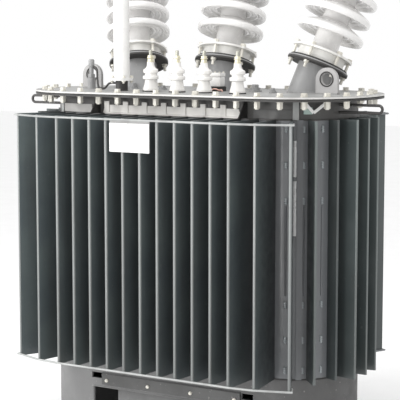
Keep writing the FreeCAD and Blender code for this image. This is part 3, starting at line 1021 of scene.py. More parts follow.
class BeadRepeater(Repeater):
    """A low oval bead, for spot welds, rivets and blobs of weld."""

    inputs = (
        ("Radius", "NodeSocketFloat", 0.006),
        ("Height", "NodeSocketFloat", 0.003),
        ("Spin", "NodeSocketFloat", 3.0),
    )
    segments: int = 10
    rings: int = 6
    narrowing: float = 0.8

    def form(self) -> Iterable[bpy.types.NodeSocket]:
        """One flattened ball.

        Yields:
            Its geometry.
        """
        ball = self.node("GeometryNodeMeshUVSphere")
        ball.inputs["Segments"].default_value = self.segments
        ball.inputs["Rings"].default_value = self.rings
        self.join(self.given("Radius"), ball.inputs["Radius"])
        flat = self.node("GeometryNodeTransform")
        scale = self.node("ShaderNodeCombineXYZ")
        scale.inputs["X"].default_value = 1.0
        scale.inputs["Y"].default_value = self.narrowing
        self.join(self.maths("DIVIDE", self.given("Height"), self.given("Radius")), scale.inputs["Z"])
        self.join(scale.outputs["Vector"], flat.inputs["Scale"])
        self.join(ball.outputs["Mesh"], flat.inputs["Geometry"])
        yield flat.outputs["Geometry"]


# ---------------------------------------------------------------- sub-assemblies
@dataclass
class CoverJoint:
    """The bolted joint under the cover, with the apron, tabs and gussets on the upper belt."""

    levels: Levels
    bolts: BoltRepeater
    bolt_count: int = 40
    first_bolt: float = 0.068
    bolt_offset: float = 0.066
    bolt_radius: float = 0.0090
    nut_height: float = 0.030
    bolt_tail: float = 0.034
    sink: float = 0.002
    apron_half: float = 0.345
    apron_low: float = 0.004
    apron_high: float = 0.040
    apron_thickness: float = 0.004
    apron_gap: float = 0.002
    apron_slant: float = 0.012
    apron_bead: float = 0.0045
    bead_reach: float = 1.2
    tab_width: float = 0.026
    tab_high: float = 0.056
    tab_reach: float = 1.9
    corner_tab_depth: float = 0.008
    corner_tab_lag: float = 3.2
    corner_tab_offset: float = 0.003
    corner_tab_bevel: float = 0.0015
    gusset_x: float = 0.378
    gusset_depth: float = 0.078
    gusset_thickness: float = 0.006
    gusset_nose: float = 0.012
    gusset_top: float = 0.014
    gusset_sink: float = 0.003
    gusset_gap: float = 0.001
    side_apron_start: float = 0.415
    side_apron_end: float = 27.0
    strap_foot: tuple[float, float, float] = (47.0, 0.012, 0.03)
    strap_heads: tuple[tuple[float, float], ...] = ((37.0, 0.02), (60.0, 0.024))
    strap_width: float = 0.013
    strap_thickness: float = 0.0035

    def build(self) -> None:
        """Builds every piece of the joint."""
        self.cover_bolts()
        self.apron()
        self.side_aprons()
        self.gussets()
        self.earth_straps()

    def bolt_spots(self) -> list[tuple[Vector, Vector]]:
        """Spaces the cover bolts evenly round the tank.

        Returns:
            Each bolt's place at height 0, with the outward direction there.
        """
        pitch = self.levels.path_length(self.bolt_offset) / self.bolt_count
        return [
            self.levels.path(self.bolt_offset, self.first_bolt + index * pitch) for index in range(
                self.bolt_count
            )
        ]

    def cover_bolts(self) -> None:
        """Bolts through cover, gasket and flange, all round the tank."""
        rise = Vector((0, 0, self.levels.cover_top))
        points = [(point + rise, UP) for point, _ in self.bolt_spots()]
        depth = self.levels.cover_top - self.levels.flange_bottom
        self.bolts.place(
            "cover_bolts", points, Finishes.ZINC, Slot.BRIGHT_STEEL, Head_Radius=0.0140, Head_Height=0.012,
            Shank_Radius=self.bolt_radius, Below=depth + self.bolt_tail, Nut_Level=depth,
            Nut_Height=self.nut_height, Spin=SIXTH_TURN,
        )

    def bolt_xs(self, side: int) -> list[float]:
        """Finds where bolts stand over the apron of one side.

        Args:
            side: -1 for the front, 1 for the back.

        Returns:
            Their places along X, from left to right.
        """
        xs = []
        for point, outward in self.bolt_spots():
            if outward.y * side > 0.99 and abs(point.x) < self.apron_half:
                xs.append(point.x)
        return sorted(xs)

    def apron(self) -> None:
        """Sheets between the tabs, and a tab behind each bolt, at the front and at the back, in pale paint
        that stands for the light on them.
        """
        shape = Shape()
        low = self.levels.fin_top + self.apron_low
        high = self.levels.fin_top + self.apron_high
        tab_top = self.levels.fin_top + self.tab_high
        half_tab = self.tab_width / 2
        for side in (-1, 1):
            face = side * (self.levels.half_width - self.sink)
            out = Vector((0, side * self.apron_thickness, 0))
            xs = self.bolt_xs(side)
            ends = [-self.apron_half, *xs, self.apron_half]
            for left, right in zip(ends, ends[1:]):
                left_top, right_top = left + self.apron_gap, right - self.apron_gap
                left_foot = left_top - (self.apron_slant if left == ends[0] else 0.0)
                right_foot = right_top + (self.apron_slant if right == ends[-1] else 0.0)
                corners = ((left_foot, low), (right_foot, low), (right_top, high), (left_top, high))
                shape.slab([Vector((x, face, z)) for x, z in corners], out)
            for middle in xs:
                left, right = middle - half_tab, middle + half_tab
                corners = ((left, low), (right, low), (right, tab_top), (left, tab_top))
                shape.slab([Vector((x, face, z)) for x, z in corners], out * self.tab_reach)
            bead_y = face + out.y * self.bead_reach
            bead = [Vector((-self.apron_half, bead_y, low)), Vector((self.apron_half, bead_y, low))]
            shape.tube(bead, self.apron_bead, 8)
        shape.piece("belt_apron", Finishes.APRON, Slot.COVER_PAINT)

    def side_aprons(self) -> None:
        """Sheets bent round the start of each corner, each ending in an upright tab, lighter at the left end
        and darker at the right as painted light and shade.
        """
        tabs = Shape()
        for end, sign_x, finish in (("left", -1, Finishes.LEFT_APRON), ("right", 1, Finishes.RIGHT_APRON)):
            shape = Shape()
            for sign_y in (-1, 1):
                self.side_apron(shape, sign_x, sign_y)
                self.corner_tab(tabs, sign_x, sign_y)
            shape.piece("corner_aprons_" + end, finish, Slot.COVER_PAINT)
        # painted light: the tabs take the pale rod paint
        tabs.piece("corner_tabs", Finishes.RODS, Slot.COVER_PAINT)

    def side_apron(self, shape: Shape, sign_x: int, sign_y: int, steps: int = 8) -> None:
        """Adds one bent sheet.

        Args:
            shape: The shape that it joins.
            sign_x: 1 for the right corners, -1 for the left ones.
            sign_y: 1 for the rear corners, -1 for the front ones.
            steps: Flats round the bend.
        """
        low = self.levels.fin_top + self.apron_low
        high = self.levels.fin_top + self.apron_high
        inner = [Vector((sign_x * self.side_apron_start, sign_y * (self.levels.half_width - self.sink), 0))]
        outer = [inner[0] + Vector((0, sign_y * self.apron_thickness, 0))]
        for step in range(steps + 1):
            angle = self.side_apron_end * step / steps
            inner.append(self.levels.on_corner(sign_x, sign_y, angle, -self.sink, 0))
            outer.append(self.levels.on_corner(sign_x, sign_y, angle, self.apron_thickness - self.sink, 0))
        rim = inner + list(reversed(outer))
        shape.slab([point + Vector((0, 0, low)) for point in rim], Vector((0, 0, high - low)))

    def corner_tab(self, shape: Shape, sign_x: int, sign_y: int) -> None:
        """Adds the upright tab at the end of one bent sheet.

        Args:
            shape: The shape that it joins.
            sign_x: 1 for the right corners, -1 for the left ones.
            sign_y: 1 for the rear corners, -1 for the front ones.
        """
        angle = self.side_apron_end + self.corner_tab_lag
        centre = self.levels.on_corner(sign_x, sign_y, angle, self.corner_tab_offset, 0)
        outward = centre - Vector((sign_x * self.levels.corner.x, sign_y * self.levels.corner.y, 0))
        tall = self.levels.flange_bottom - self.levels.fin_top - self.sink
        middle = centre + Vector((0, 0, self.levels.fin_top + tall / 2))
        size = (self.tab_width, self.corner_tab_depth, tall)
        shape.block(size, basis(middle, UP, outward.cross(UP)), self.corner_tab_bevel)

    def gussets(self) -> None:
        """Triangular stiffeners under the flange at both ends of the aprons."""
        shape = Shape()
        foot = self.levels.fin_top + self.sink
        top = self.levels.flange_bottom - self.gusset_gap
        for side in (-1, 1):
            face = side * (self.levels.half_width - self.gusset_sink)
            for sign in (-1, 1):
                outline = (
                    (0.0, foot),
                    (self.gusset_depth, foot),
                    (self.gusset_depth - self.gusset_nose, self.levels.fin_top + self.gusset_nose),
                    (self.gusset_top, top),
                    (0.0, top),
                )
                corners = [Vector((sign * self.gusset_x, face + side * depth, z)) for depth, z in outline]
                shape.slab(corners, Vector((self.gusset_thickness, 0, 0)))
        shape.piece("belt_gussets", Finishes.DARK, Slot.DARK_METAL)

    def earth_straps(self) -> None:
        """Two flat strips in a V from the flange down to the earth pad."""
        shape = Shape()
        foot_angle, foot_reach, foot_rise = self.strap_foot
        foot = self.levels.on_corner(1, -1, foot_angle, foot_reach, self.levels.fin_top + foot_rise)
        for angle, reach in self.strap_heads:
            head = self.levels.on_corner(1, -1, angle, reach, self.levels.flange_bottom - self.sink)
            outward = (head + foot) / 2 - Vector((self.levels.corner.x, -self.levels.corner.y, 0))
            outward.z = 0
            along = head - foot
            place = basis((head + foot) / 2, along, along.cross(outward))
            shape.block((self.strap_width, self.strap_thickness, along.length), place, 0.001)
        shape.piece("earth_straps", Finishes.TUBE, Slot.BRIGHT_STEEL)


@dataclass
class FinDetails:
    """Spot-weld dimples, ribs and weld beads on the corrugated wall."""

    levels: Levels
    beads: BeadRepeater
    dimple_angles: tuple[float, ...] = (21.0, 38.5, 58.0, 73.5)
    dimple_levels: tuple[float, ...] = (0.03, 0.18, 0.33, 0.77, 0.92, 1.05)
    dimple_spacing: float = 0.009
    dimple_beads: int = 3
    rib_from: float = 0.36
    rib_to: float = 0.74
    rib_radius: float = 0.0055
    rib_sink: float = 0.001
    seam_radius: float = 0.0032
    seam_inset: float = 0.001
    seam_steps: int = 96
    bright_angle: float = 29.6
    bright_spans: tuple[tuple[float, float], ...] = ((0.086, 0.237), (0.2545, 0.485))
    bright_steps: int = 14
    bright_radius: float = 0.0075
    bright_sway: float = 0.12
    bright_sway_rate: float = 2.1

    def build(self) -> None:
        """Builds every piece of detail."""
        self.dimples()
        self.ribs()
        self.seams()
        self.bright_beads()

    def corners(self) -> Iterable[tuple[int, int]]:
        """The four corners as signs of X and Y."""
        return ((sign_x, sign_y) for sign_x in (-1, 1) for sign_y in (-1, 1))

    def outward(self, sign_x: int, sign_y: int, angle: float) -> Vector:
        """Outward direction on a corner, at an angle from its long side."""
        near = self.levels.on_corner(sign_x, sign_y, angle, 0.0, 0.0)
        return (self.levels.on_corner(sign_x, sign_y, angle, 1.0, 0.0) - near).normalized()

    def dimples(self) -> None:
        """Upright oval spots, each of three overlapping beads, between the corner fins, in paler paint as a
        painted highlight.
        """
        points = []
        for sign_x, sign_y in self.corners():
            for angle in self.dimple_angles:
                aim = self.outward(sign_x, sign_y, angle)
                for down in self.dimple_levels:
                    for step in range(self.dimple_beads):
                        z = self.levels.fin_top - down - step * self.dimple_spacing
                        points.append((self.levels.on_corner(sign_x, sign_y, angle, 0.0005, z), aim))
        self.beads.place(
            "wall_dimples", points, Finishes.SPOTS, Slot.TANK_PAINT, Radius=0.0085, Height=0.006, Spin=0.4,
        )

    def ribs(self) -> None:
        """Long pressed ribs between the dimples."""
        shape = Shape()
        for sign_x, sign_y in self.corners():
            for angle in self.dimple_angles:
                ends = [
                    self.levels.on_corner(sign_x, sign_y, angle, -self.rib_sink, self.levels.fin_top - down)
                    for down in (self.rib_from, self.rib_to)
                ]
                shape.tube(ends, self.rib_radius, 8)
        shape.piece("wall_ribs", Finishes.WALL, Slot.TANK_PAINT)

    def seams(self) -> None:
        """Weld seams along the wall's lower and upper edges."""
        shape = Shape()
        lower = self.levels.fin_bottom + self.seam_inset
        upper = self.levels.fin_top - self.seam_inset
        for z, offset in ((lower, self.seam_inset), (upper, 0.0)):
            length = self.levels.path_length(offset)
            points = []
            for step in range(self.seam_steps + 1):
                point, _ = self.levels.path(offset, length * step / self.seam_steps)
                points.append(point + Vector((0, 0, z)))
            shape.tube(points, self.seam_radius, 6)
        # painted shade: the seams take the near-black belt paint
        shape.piece("wall_seams", Finishes.BELT, Slot.TANK_PAINT)

    def bright_beads(self) -> None:
        """Fresh light weld runs beside the outermost deep fins."""
        shape = Shape()
        for sign_x, sign_y in self.corners():
            for high, low in self.bright_spans:
                points = []
                for step in range(self.bright_steps + 1):
                    z = self.levels.fin_top - high - (low - high) * step / self.bright_steps
                    angle = self.bright_angle + self.bright_sway * math.sin(step * self.bright_sway_rate)
                    points.append(self.levels.on_corner(sign_x, sign_y, angle, 0.002, z))
                shape.tube(points, self.bright_radius, 8)
        shape.piece("light_beads", Finishes.PLATE, Slot.TANK_PAINT)


class Phase(Enum):
    """The three high-voltage bushings, from left to right."""

    LEFT = "left"
    MIDDLE = "middle"
    RIGHT = "right"


@dataclass
class HighVoltageBushing:
    """One leaning porcelain with its clamp bolts, on the axis that the record's terminal gives."""

    levels: Levels
    bolts: BoltRepeater
    phase: Phase
    turret_radius: float = 0.085
    flange_top: float = 0.130
    flange_thickness: float = 0.012
    gasket: float = 0.008
    ring_height: float = 0.050
    first_shed: float = 0.088
    shed_pitch: float = 0.086
    shed_count: int = 5
    shed_radius: float = 0.1525
    core_radius: float = 0.0585
    foot_radius: float = 0.072
    neck: float = 0.055
    bolt_circle: float = 0.1225
    bolt_count: int = 6
    bolt_start: float = -85.0
    bolt_tail: float = 0.034
    ear_radius: float = 0.0155
    cap_radius: float = 0.048
    stud_radius: float = 0.0098
    nut_radius: float = 0.0185
    nut_levels: tuple[float, ...] = (0.066, 0.088)
    weld_steps: int = 48

    def build(self) -> None:
        """Builds the bushing's pieces."""
        self.porcelain()
        self.clamp()
        self.collar()
        self.cap()
        self.foot_weld()

    @property
    def foot(self) -> float:
        """Foot of the porcelain along the bushing's axis."""
        return self.flange_top + self.gasket

    @property
    def lip(self) -> float:
        """Top of the clamp ring along the bushing's axis."""
        return self.foot + self.ring_height

    @property
    def top(self) -> float:
        """Top of the porcelain along the bushing's axis."""
        return self.lip + self.first_shed + (self.shed_count - 1) * self.shed_pitch + self.neck

    def axis(self) -> Matrix:
        """Works out the bushing's frame from its terminal in the record.

        Returns:
            The frame: origin on the cover, Z along the bushing.
        """
        terminal = mount("hv_terminal_" + self.phase.value)
        along = Vector(terminal["axis"])
        tip = Vector(terminal["pos_m"])
        return basis(tip - along * ((tip.z - self.levels.cover_top) / along.z), along)

    def shed(self, z: float) -> list[tuple[float, float]]:
        """Outlines one umbrella shed: ribbed underneath, with a rolled rim and a sloping top.

        Args:
            z: Height of the shed's rim.

        Returns:
            (radius, height) from the core under the shed round its rim to the core above it.
        """
        core, span = self.core_radius, self.shed_radius - self.core_radius
        under = [
            (0.02, 0.018), (0.14, 0.014), (0.20, 0.006), (0.28, 0.005), (0.34, 0.012), (0.46, 0.010),
            (0.52, 0.002), (0.60, 0.001), (0.66, 0.007), (0.76, 0.004), (0.83, -0.006), (0.93, -0.011),
        ]
        rounded = [(0.985, -0.007), (1.0, 0.003), (0.985, 0.012)]
        upper = [(0.90, 0.020), (0.66, 0.031), (0.38, 0.042), (0.14, 0.054), (0.02, 0.064)]
        return [(core + span * share, z + lift) for share, lift in under + rounded + upper]

    def porcelain(self) -> None:
        """The ribbed porcelain body, in place of the plain one."""
        outline = [
            (self.foot_radius, self.lip),
            (self.foot_radius - 0.003, self.lip + 0.012),
            (self.core_radius + 0.002, self.lip + 0.03),
        ]
        for index in range(self.shed_count):
            outline += self.shed(self.lip + self.first_shed + index * self.shed_pitch)
        outline += [(self.core_radius, self.top - 0.004), (self.core_radius - 0.004, self.top)]
        profile = [(0.0, self.foot), (self.foot_radius, self.foot)] + smooth_profile(outline, 3)
        profile.append((0.0, self.top))
        name = "hv_porcelain_sheds_" + self.phase.value
        shape = Shape().turned(profile, self.axis(), 96)
        piece = shape.piece(name, Finishes.PORCELAIN, Slot.PORCELAIN, ROUND)
        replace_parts(piece, "hv_porcelain_" + self.phase.value)

    def clamp(self) -> None:
        """Bolts from the ring's lip through the turret's flange, and the ears round them."""
        place = self.axis()
        up = (place.to_3x3() @ UP).normalized()
        ear = [
            (0.0, self.lip - 0.0095), (self.ear_radius, self.lip - 0.0095),
            (self.ear_radius, self.lip - 0.001),
            (self.ear_radius - 0.0015, self.lip + 0.0005), (0.0, self.lip + 0.0005),
        ]
        points = []
        ears = Shape()
        for index in range(self.bolt_count):
            turn = math.radians(self.bolt_start + 360.0 * index / self.bolt_count)
            spot = Vector((self.bolt_circle * math.cos(turn), self.bolt_circle * math.sin(turn), 0))
            points.append((place @ (spot + Vector((0, 0, self.lip))), up))
            ears.turned(ear, place @ Matrix.Translation(spot), 20)
        below = self.lip - self.flange_top + self.flange_thickness
        self.bolts.place(
            "hv_clamp_bolts_" + self.phase.value, points, Finishes.ZINC, Slot.BRIGHT_STEEL,
            Head_Radius=0.0125, Head_Height=0.010, Shank_Radius=0.0068, Below=below + self.bolt_tail,
            Above=0.012, Nut_Level=below, Nut_Height=0.013, Spin=SIXTH_TURN,
        )
        ears.piece("hv_ring_ears_" + self.phase.value, Finishes.CASTING, Slot.CLAMP_CASTING)

    def collar(self) -> None:
        """Near-black band round the lower edge of the turret's flange, as painted shade under it."""
        under = self.flange_top - self.flange_thickness
        bore, edge, rim, drop, rise = 0.068, 0.136, 0.1393, 0.003, 0.007
        outline = [
            (bore, under - drop), (edge, under - drop), (rim, under), (rim, under + rise),
            (edge + 0.001, under + rise), (edge + 0.001, under), (bore, under), (bore, under - drop),
        ]
        shape = Shape().turned(outline, self.axis(), 64)
        shape.piece("hv_flange_collar_" + self.phase.value, Finishes.FLANGE, Slot.DARK_METAL)

    def cap(self) -> None:
        """Stepped cap with a threaded stud and nuts, in place of the plain one."""
        top, place = self.top, self.axis()
        cap = [
            (0.0, top), (self.cap_radius, top), (self.cap_radius, top + 0.018),
            (self.cap_radius - 0.003, top + 0.022), (0.036, top + 0.026), (0.034, top + 0.05),
            (0.030, top + 0.058), (0.018, top + 0.062), (0.0, top + 0.062),
        ]
        stud = [
            (0.0, top + 0.055), (self.stud_radius, top + 0.055), (self.stud_radius, top + 0.119),
            (0.008, top + 0.122), (0.0, top + 0.122),
        ]
        shape = Shape().turned(cap, place, 48).turned(stud, place, 20)
        for level in self.nut_levels:
            nut = [
                (0.0, top + level), (self.nut_radius - 0.0015, top + level),
                (self.nut_radius, top + level + 0.002),
                (self.nut_radius, top + level + 0.013), (self.nut_radius - 0.0015, top + level + 0.015),
                (0.0, top + level + 0.015),
            ]
            shape.turned(nut, place, 6)
        piece = shape.piece("hv_cap_" + self.phase.value, Finishes.ZINC, Slot.BRIGHT_STEEL)
        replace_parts(piece, "hv_terminal_" + self.phase.value)

    def foot_weld(self) -> None:
        """Weld bead round the turret's slanted foot."""
        place = self.axis()
        along = (place.to_3x3() @ UP).normalized()
        points = []
        for step in range(self.weld_steps + 1):
            turn = 2 * math.pi * step / self.weld_steps
            spot = place @ Vector(
                (self.turret_radius * math.cos(turn), self.turret_radius * math.sin(turn), 0)
            )
            on_cover = spot - along * ((spot.z - self.levels.cover_top) / along.z)
            points.append(on_cover + Vector((0, 0, 0.001)))
        weld = Shape().tube(points, 0.004, 8)
        weld.piece("turret_weld_" + self.phase.value, Finishes.TURRET, Slot.COVER_PAINT, ROUND)


@dataclass
class LowVoltageRow:
    """The row of small porcelains with brass nuts and threaded studs."""

    levels: Levels
    gasket: float = 0.005
    body: float = 0.125
    foot_radius: float = 0.0345
    outline: tuple[tuple[float, float], ...] = (
        (0.0345, 0.0), (0.0345, 0.008), (0.033, 0.012), (0.0285, 0.028), (0.0260, 0.043), (0.0265, 0.048),
        (0.0335, 0.050), (0.0350, 0.0535), (0.0350, 0.0620), (0.0335, 0.0655), (0.0265, 0.067),
        (0.0255, 0.0715),
        (0.0265, 0.076), (0.0315, 0.078), (0.0328, 0.081), (0.0328, 0.0900), (0.0312, 0.094), (0.0240, 0.098),
        (0.0190, 0.104), (0.0168, 0.111), (0.0165, 0.125),
    )
    nuts: tuple[tuple[float, float, float, int], ...] = (
        (0.0, 0.0160, 0.004, 24), (0.004, 0.0145, 0.011, 6), (0.016, 0.0165, 0.004, 24),
        (0.020, 0.0145, 0.010, 6),
    )
    nut_edge: float = 0.001
    stud_radius: float = 0.0078
    stud_length: float = 0.053
    stud_point: float = 0.0025

    def places(self) -> list[Vector]:
        """Feet of the bushings on their gaskets."""
        mounts = [m for m in frame["record"]["mounts"] if m["name"].startswith("lv_terminal")]
        return [Vector((m["pos_m"][0], m["pos_m"][1], self.levels.cover_top + self.gasket)) for m in mounts]

    def build(self) -> None:
        """Builds the porcelains with their nuts and studs."""
        bodies, nuts, rods = Shape(), Shape(), Shape()
        profile = [(0.0, 0.0), (self.foot_radius, 0.0)] + smooth_profile(self.outline, 3) + [(0.0, self.body)]
        for foot in self.places():
            place = Matrix.Translation(foot)
            bodies.turned(profile, place, 48)
            self.stack(nuts, place)
            self.rod(rods, place)
        porcelain = bodies.piece("lv_porcelains", Finishes.SMALL_PORCELAIN, Slot.PORCELAIN, ROUND)
        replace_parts(porcelain, "lv_bushings")
        for shape, name, finish in (
            (nuts, "lv_threaded_studs", Finishes.BRASS), (rods, "lv_stud_rods", Finishes.STUD),
        ):
            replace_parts(shape.piece(name, finish, Slot.STUD_BRASS), "lv_studs")

    def stack(self, shape: Shape, place: Matrix) -> None:
        """Adds the washers and nuts on top of one porcelain.

        Args:
            shape: The shape that they join.
            place: The porcelain's foot.
        """
        for low, radius, height, sides in self.nuts:
            bottom = self.body + low
            ring = [
                (0.0, bottom), (radius - self.nut_edge, bottom), (radius, bottom + self.nut_edge),
                (radius, bottom + height - self.nut_edge), (radius - self.nut_edge, bottom + height),
                (0.0, bottom + height),
            ]
            shape.turned(ring, place, sides)

    def rod(self, shape: Shape, place: Matrix) -> None:
        """Adds one stud with a chamfered point.

        Args:
            shape: The shape that it joins.
            place: The porcelain's foot.
        """
        rod = [
            (0.0, self.body), (self.stud_radius, self.body),
            (self.stud_radius, self.body + self.stud_length - self.stud_point),
            (self.stud_radius - 0.002, self.body + self.stud_length), (0.0, self.body + self.stud_length),
        ]
        shape.turned(rod, place, 16)


@dataclass
class CoverFittings:
    """Small fittings on the cover: gauge bolts and line, switch cover, lug rims and plugs."""

    levels: Levels
    bolts: BoltRepeater
    gauge_bolt_circle: float = 0.044
    gauge_bolt_count: int = 4
    line_radius: float = 0.0048
    strap_radius: float = 0.0032
    strap_front: float = 0.012
    rim_radius: float = 0.0045
    rim_bead: float = 0.7
    rim_steps: int = 40
    lug_weld_radius: float = 0.0045
    plug_places: tuple[tuple[float, float, float, float], ...] = (
        (0.235, 0.045, 0.022, 0.03), (-0.42, 0.05, 0.018, 0.024), (0.36, -0.02, 0.014, 0.02),
        (-0.235, 0.02, 0.014, 0.018),
    )

    def build(self) -> None:
        """Builds the fittings."""
        self.gauge_bolts()
        self.gauge_line()
        self.switch_cover()
        self.switch_strap()
        self.switch_screws()
        self.lugs()
        self.plugs()
        self.thermometer()

    def gauge_bolts(self) -> None:
        """Bolts through the gauge's flange."""
        low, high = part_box("oil_gauge_flange")
        centre = (low + high) / 2
        points = []
        for index in range(self.gauge_bolt_count):
            turn = math.radians(45 + 360 / self.gauge_bolt_count * index)
            spot = Vector((math.cos(turn), math.sin(turn), 0)) * self.gauge_bolt_circle
            points.append((Vector((centre.x, centre.y, high.z)) + spot, UP))
        self.bolts.place(
            "gauge_bolts", points, Finishes.ZINC, Slot.BRIGHT_STEEL, Head_Radius=0.0085, Head_Height=0.006,
            Shank_Radius=0.0045, Below=high.z - low.z + 0.012, Nut_Level=high.z - low.z, Nut_Height=0.006,
            Spin=1.0,
        )

    def gauge_line(self) -> None:
        """Thin pipe from the thermometer pocket along the cover to the gauge's stub."""
        low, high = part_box("oil_gauge_flange")
        gauge = (low + high) / 2
        pocket_low, pocket_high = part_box("thermometer_pocket")
        pocket = (pocket_low + pocket_high) / 2
        deck = self.levels.cover_top + 0.006
        corners = [
            Vector((pocket.x + 0.006, pocket.y, pocket_high.z - 0.03)),
            Vector((pocket.x + 0.034, pocket.y - 0.004, pocket_high.z - 0.042)),
            Vector((pocket.x + 0.040, pocket.y - 0.01, deck + 0.04)),
            Vector((pocket.x + 0.052, pocket.y - 0.02, deck)),
            Vector((gauge.x - 0.115, gauge.y + 0.03, deck)),
            Vector((gauge.x - 0.080, gauge.y + 0.012, deck + 0.024)),
            Vector((gauge.x - 0.06, gauge.y + 0.004, low.z - 0.012)),
            Vector((gauge.x - 0.024, gauge.y, low.z - 0.012)),
        ]
        line = Shape().tube(self.bent(corners), self.line_radius, 10)
        line.piece("gauge_line", Finishes.DARK, Slot.DARK_METAL, ROUND)

    @staticmethod
    def bent(corners: Sequence[Vector], steps: int = 6, largest: float = 0.05) -> list[Vector]:
        """Rounds a broken line.

        Args:
            corners: Its corners.
            steps: Points per corner.
            largest: Length of the longest run that a corner's rounding is measured on.

        Returns:
            The rounded line.
        """
        points = [corners[0]]
        for before, corner, after in zip(corners, corners[1:], corners[2:]):
            reach = min((corner - before).length, (after - corner).length, largest) * 0.45
            first = corner + (before - corner).normalized() * reach
            last = corner + (after - corner).normalized() * reach
            for step in range(steps + 1):
                t = step / steps
                points.append(first * (1 - t) ** 2 + corner * 2 * t * (1 - t) + last * t * t)
        points.append(corners[-1])
        return points

    def switch_cover(self) -> None:
        """Moulded switch cover with a lid, in place of the plain box."""
        low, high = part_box("tap_switch_box")
        size = high - low
        centre = (low + high) / 2
        shape = Shape()
        body = Matrix.Translation(Vector((centre.x, centre.y, low.z + size.z * 0.36)))
        shape.block((size.x * 0.94, size.y * 0.94, size.z * 0.7), body, 0.005)
        lid = Matrix.Translation(Vector((centre.x, centre.y, high.z - size.z * 0.15)))
        shape.block((size.x, size.y, size.z * 0.28), lid, 0.004)
        piece = shape.piece("switch_cover_box", Finishes.SWITCH, Slot.SWITCH_COVER)
        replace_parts(piece, "tap_switch_box")

    def switch_strap(self) -> None:
        """Copper band that lies bent in front of the switch's foot."""
        low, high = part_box("tap_switch_base")
        middle = (low + high) / 2
        front = low.y - self.strap_front
        route = (
            (-0.045, 0.02, 0.004), (-0.025, 0.012, 0.012), (-0.005, 0.0, 0.005), (0.02, 0.004, 0.014),
            (0.04, 0.0, 0.006), (0.062, 0.015, 0.010), (0.075, 0.03, 0.004),
        )
        line = [
            Vector((middle.x + along, front - out, self.levels.cover_top + rise))
            for along, out, rise in route
        ]
        strap = Shape().tube(self.bent(line), self.strap_radius, 8)
        strap.piece("switch_copper_strap", Finishes.COPPER, Slot.STUD_BRASS, ROUND)

    def switch_screws(self) -> None:
        """Screws in the corners of the switch cover's lid."""
        low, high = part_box("tap_switch_box")
        size = high - low
        centre = (low + high) / 2
        screws = []
        for sign_x in (-1, 1):
            for sign_y in (-1, 1):
                x = centre.x + sign_x * size.x * 0.38
                y = centre.y + sign_y * size.y * 0.36
                screws.append((Vector((x, y, high.z - 0.0005)), UP))
        self.bolts.place(
            "switch_screws", screws, Finishes.ZINC, Slot.BRIGHT_STEEL, Head_Radius=0.0042, Head_Height=0.0025,
            Shank_Radius=0.002, Below=0.008, Nut_Level=0.004, Nut_Height=0.002, Spin=1.0,
        )

    def lugs(self) -> None:
        """Rolled rims round the lifting eyes and weld beads along the lugs' feet."""
        for end in ("left", "right"):
            eye_mount = mount(end + "_lifting_eye")
            eye = Vector(eye_mount["pos_m"])
            low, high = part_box(end + "_lifting_lug")
            radius = eye_mount["dims"]["r_mm"] / 1000 + self.rim_radius
            rims, welds = Shape(), Shape()
            for y in (low.y, high.y):
                ring = []
                for step in range(self.rim_steps + 1):
                    turn = 2 * math.pi * step / self.rim_steps
                    ring.append(Vector((eye.x + radius * math.cos(turn), y, eye.z + radius * math.sin(turn))))
                rims.tube(ring, self.rim_radius * self.rim_bead, 8)
                foot = low.z + 0.001
                welds.tube([Vector((low.x, y, foot)), Vector((high.x, y, foot))], self.lug_weld_radius, 8)
            # painted shade: near-black rims darken the lifting eyes
            rims.piece(end + "_lug_rims", Finishes.FLANGE, Slot.COVER_PAINT, ROUND)
            welds.piece(end + "_lug_welds", Finishes.COVER, Slot.COVER_PAINT, ROUND)

    def plugs(self) -> None:
        """Filling plug, air plug and two blanked sockets on the cover."""
        shape = Shape()
        for x, y, radius, height in self.plug_places:
            place = Matrix.Translation(Vector((x, y, self.levels.cover_top)))
            seat = height * 0.6
            collar = [
                (0.0, 0.0), (radius * 1.3, 0.0), (radius * 1.3, 0.006), (radius, 0.007), (radius, seat),
                (0.0, seat),
            ]
            head = [
                (0.0, seat), (radius * 0.8, seat), (radius * 0.8, height), (radius * 0.6, height * 1.08),
                (0.0, height * 1.08),
            ]
            shape.turned(collar, place, 28).turned(head, place, 6)
        shape.piece("cover_plugs", Finishes.TURRET, Slot.COVER_PAINT)

    def thermometer(self) -> None:
        """Hexagon and cap on the thermometer pocket."""
        low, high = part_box("thermometer_pocket")
        centre = (low + high) / 2
        place = Matrix.Translation(Vector((centre.x, centre.y, low.z)))
        hexagon = [
            (0.0, 0.052), (0.016, 0.052), (0.0175, 0.054), (0.0175, 0.066), (0.016, 0.068), (0.0, 0.068),
        ]
        cap = [(0.0, 0.10), (0.0125, 0.10), (0.0135, 0.102), (0.0135, 0.13), (0.010, 0.1362), (0.0, 0.1362)]
        shape = Shape().turned(hexagon, place, 6).turned(cap, place, 24)
        shape.piece("thermometer_cap", Finishes.TURRET, Slot.COVER_PAINT)


